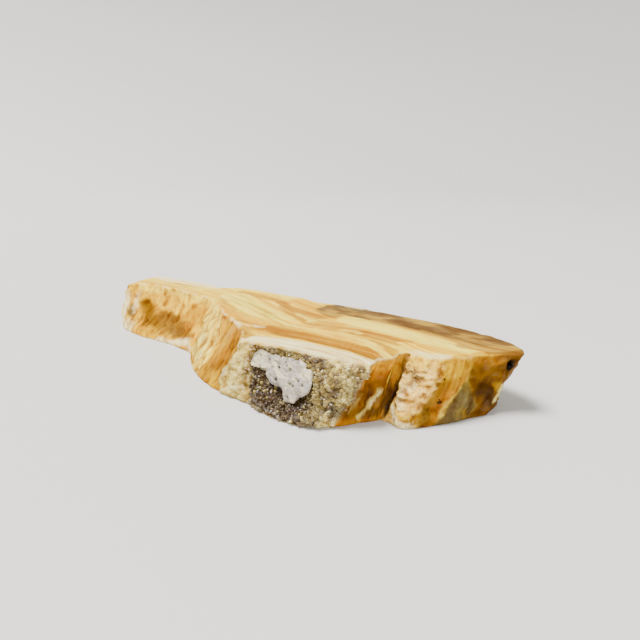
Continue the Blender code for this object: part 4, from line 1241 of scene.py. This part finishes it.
def sugar_crystals(count, relief, tones):
    """Crystals grown together over the block's sugary wall, beside and below the pocket: roots on
    the wall's own grid, axes near its outward direction."""
    grid = wall_grid(relief)
    wall, place, _, depth, shares, _, _ = grid
    dice = np.random.RandomState(85)
    ahead = np.roll(wall, -1, axis=1) - np.roll(wall, 1, axis=1)
    lower = np.gradient(wall, axis=0)
    away = np.cross(lower, ahead)
    away = away / np.maximum(np.linalg.norm(away, axis=-1), 1e-9)[..., None]
    local = into_pocket(wall)
    reach = pocket_reach(local[..., 0], local[..., 1])
    chance = shares[BLOCK] * soft_step(reach, 0.94, 1.0) * soft_step(place, 17.6, 18.6)
    chance = chance * soft_step(depth, 0.03, 0.09) * soft_step(1.0 - depth, 0.02, 0.06)
    drifts = deep_noise(local[..., 0] / 3.0, local[..., 1] / 3.0, 86, 2)
    chance = chance * (0.35 + 0.65 * soft_step(drifts, -0.4, 0.1))
    order = dice.permutation(chance.size)
    chosen = order[dice.uniform(0.0, 1.0, chance.size) < chance.ravel()[order]][:count]
    roots = wall.reshape(-1, 3)[chosen]
    axes = away.reshape(-1, 3)[chosen] + dice.normal(0.0, 0.45, (len(chosen), 3))
    widths = SUGAR_WIDTH[0] + (SUGAR_WIDTH[1] - SUGAR_WIDTH[0]) * dice.uniform(0.0, 1.0, len(chosen)) ** 2.6
    heights = widths * dice.uniform(0.4, 1.1, len(chosen))
    points = crystal_points(roots, axes, widths, heights, dice)
    points[..., 2] = np.maximum(points[..., 2], 0.0)
    paint = wall_colours(grid, tones)
    colours = paint.reshape(-1, 3)[chosen] * dice.uniform(0.45, 1.3, len(chosen))[:, None]
    return points.reshape(-1, 3), np.repeat(colours, CRYSTAL_CORNERS, axis=0), len(chosen)


def feed(tree, entry, value):
    """Sets a socket to a number or colour, or joins it to the socket that a Link holds."""
    if isinstance(value, Link):
        tree.links.new(value.socket, entry)
    elif isinstance(value, (tuple, list)) and entry.type == "RGBA" and len(value) == 3:
        entry.default_value = (*value, 1.0)
    else:
        entry.default_value = value


class Link:
    """One socket of a shader. Arithmetic on it adds Math nodes, whichever side it stands on."""

    def __init__(self, tree, socket):
        self.tree = tree
        self.socket = socket

    def maths(self, operation, *values):
        node = self.tree.nodes.new("ShaderNodeMath")
        node.operation = operation
        for entry, value in zip(node.inputs, values):
            feed(self.tree, entry, value)
        return Link(self.tree, node.outputs[0])

    def __add__(self, other):
        return self.maths("ADD", self, other)

    def __radd__(self, other):
        return self.maths("ADD", other, self)

    def __sub__(self, other):
        return self.maths("SUBTRACT", self, other)

    def __rsub__(self, other):
        return self.maths("SUBTRACT", other, self)

    def __mul__(self, other):
        return self.maths("MULTIPLY", self, other)

    def __rmul__(self, other):
        return self.maths("MULTIPLY", other, self)

    def limited(self):
        """The value kept between zero and one."""
        return self.maths("MINIMUM", self.maths("MAXIMUM", self, 0.0), 1.0)

    def ramp(self, low, high):
        """Zero at low, one at high and straight between them."""
        return ((self - low) * (1.0 / (high - low))).limited()


class Finish:
    """A new material with its Principled shader, and the one way to add any other node."""

    def __init__(self, name, **constants):
        self.material = bpy.data.materials.new(name)
        self.material.use_nodes = True
        self.tree = self.material.node_tree
        self.shader = self.tree.nodes["Principled BSDF"]
        for label, value in constants.items():
            feed(self.tree, self.shader.inputs[label.replace("_", " ")], value)

    def node(self, kind, settings, sockets, output=0):
        """Adds a node of a type, sets its settings first and its sockets after them."""
        node = self.tree.nodes.new(kind)
        for label, value in settings.items():
            setattr(node, label, value)
        for label, value in sockets.items():
            feed(self.tree, node.inputs[label], value)
        return Link(self.tree, node.outputs[output])

    def attribute(self, name, output="Vector"):
        return self.node("ShaderNodeAttribute", {"attribute_name": name}, {}, output)

    def stretched(self, vector, stretch):
        return self.node("ShaderNodeVectorMath", {"operation": "MULTIPLY"}, {0: vector, 1: stretch})

    def noise(self, vector, scale, detail=4.0, roughness=0.55):
        sockets = {"Vector": vector, "Scale": scale, "Detail": detail, "Roughness": roughness}
        return self.node("ShaderNodeTexNoise", {}, sockets)

    def cells(self, vector, scale):
        return self.node("ShaderNodeTexVoronoi", {}, {"Vector": vector, "Scale": scale}, "Distance")

    def mix(self, share, first, second, blend="MIX"):
        settings = {"data_type": "RGBA", "blend_type": blend}
        return self.node("ShaderNodeMix", settings, {0: share, 6: first, 7: second}, 2)

    def bump(self, height, distance):
        sockets = {"Height": height, "Distance": distance, "Strength": 1.0}
        return self.node("ShaderNodeBump", {}, sockets)

    def set(self, **values):
        for label, value in values.items():
            feed(self.tree, self.shader.inputs[label.replace("_", " ")], value)
        return self.material


def stone_finish():
    """Banded stone: painted bands under fine streaks that follow the layers, sugary grain, dark
    specks, and a polish on the top and on the glassy breaks."""
    finish = Finish("banded_stone", IOR=1.4, Specular_IOR_Level=0.005, Subsurface_Weight=0.06,
                    Subsurface_Scale=0.0012, Coat_Roughness=0.12, Coat_IOR=1.3)
    finish.shader.inputs["Subsurface Radius"].default_value = (1.0, 0.7, 0.35)
    paint = finish.attribute("paint", "Color")
    layers = finish.attribute("layers")
    gloss = finish.node("ShaderNodeSeparateXYZ", {}, {0: finish.attribute("surface")})
    sugar = Link(finish.tree, gloss.socket.node.outputs[1])
    speck = Link(finish.tree, gloss.socket.node.outputs[2])
    facing = finish.node("ShaderNodeNewGeometry", {}, {}, "Normal")
    flat = finish.node("ShaderNodeSeparateXYZ", {}, {0: facing}, 2).ramp(0.9, 0.99)
    spot = finish.node("ShaderNodeTexCoord", {}, {}, "Object")
    thin = finish.noise(finish.stretched(layers, (0.07, 2.6, 1.0)), 1.0, 5.0, 0.62)
    wide = finish.noise(finish.stretched(layers, (0.045, 0.62, 1.0)), 1.0, 4.0, 0.6)
    cloud = finish.noise(spot, 260.0, 4.0, 0.6)
    grain = finish.noise(spot, 2400.0, 3.0, 0.6)
    chips = finish.cells(spot, 1500.0)
    dots = finish.cells(spot, 620.0)
    colour = finish.mix(thin.ramp(0.5, 0.68) * 0.6, paint, (0.74, 0.56, 0.28), "MULTIPLY")
    colour = finish.mix((1.0 - thin).ramp(0.5, 0.72) * 0.7, colour, (1.14, 1.15, 1.16), "MULTIPLY")
    colour = finish.mix(wide.ramp(0.48, 0.62) * 0.6, colour, (0.84, 0.68, 0.42), "MULTIPLY")
    colour = finish.mix((1.0 - wide).ramp(0.5, 0.64) * 0.7, colour, (1.1, 1.11, 1.12), "MULTIPLY")
    colour = finish.mix(cloud.ramp(0.45, 0.7) * 0.35, colour, (1.1, 1.14, 1.2), "MULTIPLY")
    colour = finish.mix(sugar * grain.ramp(0.5, 0.6) * 0.5, colour, (0.55, 0.44, 0.34), "MULTIPLY")
    colour = finish.mix(sugar * sugar * (1.0 - grain).ramp(0.56, 0.64) * 0.55, colour, linear("FFF0DA"))
    marks = (1.0 - dots).ramp(0.84, 0.93) * cloud.ramp(0.42, 0.5)
    colour = finish.mix(speck * marks * 0.9, colour, linear("2A160C"))
    crumbs = (1.0 - finish.cells(spot, 430.0)).ramp(0.83, 0.87)
    colour = finish.mix(speck.ramp(0.62, 0.85) * crumbs * 0.9, colour, linear("1E120A"))
    roughness = 0.62 - gloss * 0.42 + sugar * grain * 0.25
    height = sugar * chips * 1.2 + (1.0 - gloss) * grain * 0.6 + thin * (1.0 - gloss) * 0.5
    normal = finish.bump(height, 0.0004)
    return finish.set(Base_Color=colour, Roughness=roughness.limited(), Normal=normal,
                      Coat_Weight=((gloss - 0.45) * 0.55 * (1.0 - flat)).limited())


def crystal_finish(name, gloss):
    """Small clear-faced crystals: each its own tone, with cloudy flaws and a fine sparkle."""
    finish = Finish(name, IOR=1.5, Coat_Roughness=0.05)
    paint = finish.attribute("paint", "Color")
    spot = finish.node("ShaderNodeTexCoord", {}, {}, "Object")
    cloud = finish.noise(spot, 900.0, 4.0, 0.6)
    grain = finish.noise(spot, 3200.0, 2.0, 0.5)
    colour = finish.mix(cloud.ramp(0.45, 0.68) * 0.45, paint, (0.6, 0.5, 0.4), "MULTIPLY")
    colour = finish.mix((1.0 - cloud).ramp(0.56, 0.72) * 0.3, colour, linear("F6E8D0"))
    roughness = (1.0 - gloss) + grain * 0.2
    return finish.set(Base_Color=colour, Roughness=roughness.limited(), Coat_Weight=(cloud * 0.5).limited(),
                      Normal=finish.bump(grain, 0.00006))


def skin_finish():
    """Waxy grey chalcedony: mottled, with fine pores and a dull sheen."""
    finish = Finish("grey_chalcedony", IOR=1.45)
    paint = finish.attribute("paint", "Color")
    spot = finish.node("ShaderNodeTexCoord", {}, {}, "Object")
    cloud = finish.noise(spot, 700.0, 4.0, 0.6)
    grain = finish.noise(spot, 3000.0, 3.0, 0.6)
    pores = finish.cells(spot, 1900.0)
    colour = finish.mix(grain.ramp(0.5, 0.66) * 0.35, paint, (0.66, 0.62, 0.6), "MULTIPLY")
    colour = finish.mix(cloud.ramp(0.5, 0.7) * 0.3, colour, linear("EEEAF0"))
    colour = finish.mix((1.0 - pores).ramp(0.86, 0.95) * 0.5, colour, linear("5C5048"))
    height = grain * 0.6 + pores * 0.5
    return finish.set(Base_Color=colour, Roughness=(0.42 + grain * 0.3).limited(),
                      Normal=finish.bump(height, 0.00016))


def floor_finish(shade):
    """A plain pale board with the faintest unevenness."""
    finish = Finish("pale_floor")
    spot = finish.node("ShaderNodeTexCoord", {}, {}, "Object")
    cloud = finish.noise(spot, 9.0, 3.0, 0.5)
    colour = finish.mix(cloud * 0.08, tuple(shade), (0.7, 0.7, 0.7), "MULTIPLY")
    return finish.set(Base_Color=colour, Roughness=(0.55 + cloud * 0.1).limited())


class SliceStone(bpy.types.PropertyGroup):
    relief: bpy.props.FloatProperty(
        name="Fine relief", description="How strongly chips and ribs stand out of the broken wall",
        default=1.0, min=0.0, max=2.0)
    cream: bpy.props.FloatVectorProperty(
        name="Cream bands", description="Colour of the broad cream bands", subtype="COLOR",
        default=pigment(TONES["cream"]), min=0.0, max=1.0)
    amber: bpy.props.FloatVectorProperty(
        name="Amber bands", description="Colour of the amber bands", subtype="COLOR",
        default=pigment(TONES["amber"]), min=0.0, max=1.0)
    glass_brown: bpy.props.FloatVectorProperty(
        name="Brown tip", description="Colour of the brown glassy stone at the right tip", subtype="COLOR",
        default=pigment(TONES["glass_brown"]), min=0.0, max=1.0)


class SliceCrystals(bpy.types.PropertyGroup):
    count: bpy.props.IntProperty(
        name="Pocket crystals", description="How many crystals line the pocket", default=CRYSTAL_COUNT,
        min=0, max=4000)
    sugar_count: bpy.props.IntProperty(
        name="Wall crystals", description="How many crystals stand on the sugary wall", default=SUGAR_COUNT,
        min=0, max=4000)
    brown: bpy.props.FloatVectorProperty(
        name="Crystal brown", description="Colour of the pocket's crystals", subtype="COLOR",
        default=pigment(TONES["druse_brown"]), min=0.0, max=1.0)


class SliceSkin(bpy.types.PropertyGroup):
    grey: bpy.props.FloatVectorProperty(
        name="Chalcedony grey", description="Colour of the grey skin in the pocket", subtype="COLOR",
        default=pigment(SKIN_TONES["skin"]), min=0.0, max=1.0)


class SliceStage(bpy.types.PropertyGroup):
    floor_colour: bpy.props.FloatVectorProperty(
        name="Floor", description="Colour of the pale floor", subtype="COLOR",
        default=linear("D2D1CE"), min=0.0, max=1.0)
    floor_radius: bpy.props.FloatProperty(
        name="Floor radius", description="How far the floor reaches", default=3.0, min=0.5, unit="LENGTH")
    key_power: bpy.props.FloatProperty(
        name="Key light", description="Power of the large soft light above the left rear", default=KEY_POWER,
        min=0.0, unit="POWER")


def chosen_tones(scene):
    """The tones as linear colours, with those that the panel sets in their place."""
    tones = {name: pigment(code) for name, code in TONES.items()}
    tones.update({name: pigment(code) for name, code in SKIN_TONES.items()})
    for name in ("cream", "amber", "glass_brown"):
        tones[name] = tuple(getattr(scene.slice_stone, name))
    tones["druse_brown"] = tuple(scene.slice_crystals.brown)
    tones["skin"] = tuple(scene.slice_skin.grey)
    return tones


class SLICE_OT_stone(bpy.types.Operator):
    """Build the banded slab"""
    bl_idname = "slice.stone"
    bl_label = "Banded Stone"

    def execute(self, context):
        scene = context.scene
        points, paint, surface, layers = slab_mesh_data(scene.slice_stone.relief, chosen_tones(scene))
        rows, columns = points.shape[:2]
        faces = grid_faces(rows, columns).tolist()
        faces.append(list(range(columns)))
        faces.append(list(range(rows * columns - 1, (rows - 1) * columns - 1, -1)))
        vectors = {"surface": surface.reshape(-1, 3), "layers": layers.reshape(-1, 3)}
        stone = make_piece("banded_stone", points.reshape(-1, 3), faces, stone_finish(),
                           paint.reshape(-1, 3), vectors)
        stone.data.shade_smooth()
        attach(stone, "root")
        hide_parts("banded_slab")
        return {"FINISHED"}


class SLICE_OT_crystals(bpy.types.Operator):
    """Build the brown crystals that line the pocket"""
    bl_idname = "slice.crystals"
    bl_label = "Pocket Crystals"

    def execute(self, context):
        tones = chosen_tones(context.scene)
        sheet, sheet_colours, faces = druse_sheet(tones)
        points, colours, count = druse_crystals(context.scene.slice_crystals.count, tones)
        faces = faces + crystal_faces(count, len(sheet))
        crust = make_piece("brown_crystals", np.vstack((sheet, points)), faces,
                           crystal_finish("brown_crystals", 0.8), np.vstack((sheet_colours, colours)))
        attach(crust, "root")
        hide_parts("druse_lining")
        return {"FINISHED"}


class SLICE_OT_sugar(bpy.types.Operator):
    """Build the crystals grown over the block's sugary wall"""
    bl_idname = "slice.sugar"
    bl_label = "Wall Crystals"

    def execute(self, context):
        scene = context.scene
        points, colours, count = sugar_crystals(scene.slice_crystals.sugar_count, scene.slice_stone.relief,
                                                chosen_tones(scene))
        sugar = make_piece("sugary_crystals", points, crystal_faces(count, 0),
                           crystal_finish("sugary_crystals", 0.7), colours)
        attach(sugar, "root")
        return {"FINISHED"}


class SLICE_OT_skin(bpy.types.Operator):
    """Build the grey chalcedony skin"""
    bl_idname = "slice.skin"
    bl_label = "Grey Chalcedony"

    def execute(self, context):
        points, colours, faces = skin_data(chosen_tones(context.scene))
        skin = make_piece("grey_chalcedony", points, faces, skin_finish(), colours)
        skin.data.shade_smooth()
        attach(skin, "root")
        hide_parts("chalcedony_crust")
        return {"FINISHED"}


def add_light(name, spot, target, size, power, colour):
    """A square area light at a place in metres, turned towards a target."""
    lamp = bpy.data.lights.new(name, "AREA")
    lamp.size = size
    lamp.energy = power
    lamp.color = colour
    light = bpy.data.objects.new(name, lamp)
    light.location = spot
    light.rotation_euler = (Vector(target) - Vector(spot)).to_track_quat("-Z", "Y").to_euler()
    bpy.context.scene.collection.objects.link(light)


class SLICE_OT_stage(bpy.types.Operator):
    """Build the floor, the lights and the camera"""
    bl_idname = "slice.stage"
    bl_label = "Stage"

    def execute(self, context):
        settings = context.scene.slice_stage
        turn = np.linspace(0.0, FULL_TURN, FLOOR_SPOKES, endpoint=False)
        rings = np.linspace(0.03, 1.0, FLOOR_RINGS)[:, None]
        reach = rings * settings.floor_radius / MM
        curved = np.clip((rings - FLAT_SHARE) / (1.0 - FLAT_SHARE), 0.0, 1.0) ** 2
        rise = FLOOR_RISE / MM * curved + 0.0 * turn
        points = np.stack((reach * np.cos(turn), reach * np.sin(turn), rise), axis=-1).reshape(-1, 3)
        faces = grid_faces(FLOOR_RINGS, FLOOR_SPOKES).tolist() + [list(range(FLOOR_SPOKES))]
        floor = make_piece("floor", points, faces, floor_finish(settings.floor_colour))
        floor.data.shade_smooth()
        add_light("key_light", KEY_PLACE, KEY_TARGET, KEY_SIZE, settings.key_power, (1.0, 0.97, 0.93))
        add_light("front_light", FRONT_PLACE, FRONT_TARGET, FRONT_SIZE, FRONT_POWER, (1.0, 0.98, 0.96))
        world = bpy.data.worlds.new("soft_studio")
        world.use_nodes = True
        world.node_tree.nodes["Background"].inputs["Color"].default_value = (*linear(WORLD_COLOUR), 1.0)
        world.node_tree.nodes["Background"].inputs["Strength"].default_value = WORLD_STRENGTH
        context.scene.world = world
        lens = bpy.data.cameras.new("camera")
        lens.lens = CAMERA_LENS
        lens.sensor_width = CAMERA_LENS
        lens.clip_start = 0.01
        camera = bpy.data.objects.new("camera", lens)
        camera.location = CAMERA_PLACE
        camera.rotation_euler = [math.radians(angle) for angle in CAMERA_TURN]
        context.scene.collection.objects.link(camera)
        context.scene.camera = camera
        return {"FINISHED"}


class SLICE_PT_panel(bpy.types.Panel):
    """Lists the slice's pieces and their settings"""
    bl_label = "Banded Stone Slice"
    bl_idname = "SLICE_PT_panel"
    bl_space_type = "VIEW_3D"
    bl_region_type = "UI"
    bl_category = "Stone"

    def draw(self, context):
        scene = context.scene
        groups = (
            (scene.slice_stone, ("relief", "cream", "amber", "glass_brown"), (SLICE_OT_stone,)),
            (scene.slice_crystals, ("count", "sugar_count", "brown"), (SLICE_OT_crystals, SLICE_OT_sugar)),
            (scene.slice_skin, ("grey",), (SLICE_OT_skin,)),
            (scene.slice_stage, ("floor_colour", "floor_radius", "key_power"), (SLICE_OT_stage,)),
        )
        for settings, labels, operators in groups:
            box = self.layout.box()
            for label in labels:
                box.prop(settings, label)
            for operator in operators:
                box.operator(operator.bl_idname)


GROUPS = (
    ("slice_stone", SliceStone),
    ("slice_crystals", SliceCrystals),
    ("slice_skin", SliceSkin),
    ("slice_stage", SliceStage),
)
OPERATORS = (SLICE_OT_stage, SLICE_OT_stone, SLICE_OT_crystals, SLICE_OT_sugar, SLICE_OT_skin)


def register():
    for _, group in GROUPS:
        bpy.utils.register_class(group)
    for operator in OPERATORS:
        bpy.utils.register_class(operator)
    bpy.utils.register_class(SLICE_PT_panel)
    for label, group in GROUPS:
        setattr(bpy.types.Scene, label, bpy.props.PointerProperty(type=group))


def unregister():
    for label, _ in reversed(GROUPS):
        delattr(bpy.types.Scene, label)
    bpy.utils.unregister_class(SLICE_PT_panel)
    for operator in reversed(OPERATORS):
        bpy.utils.unregister_class(operator)
    for _, group in reversed(GROUPS):
        bpy.utils.unregister_class(group)


def main():
    register()
    bpy.ops.slice.stage()
    bpy.ops.slice.stone()
    bpy.ops.slice.crystals()
    bpy.ops.slice.sugar()
    bpy.ops.slice.skin()


if __name__ == "__main__":
    main()
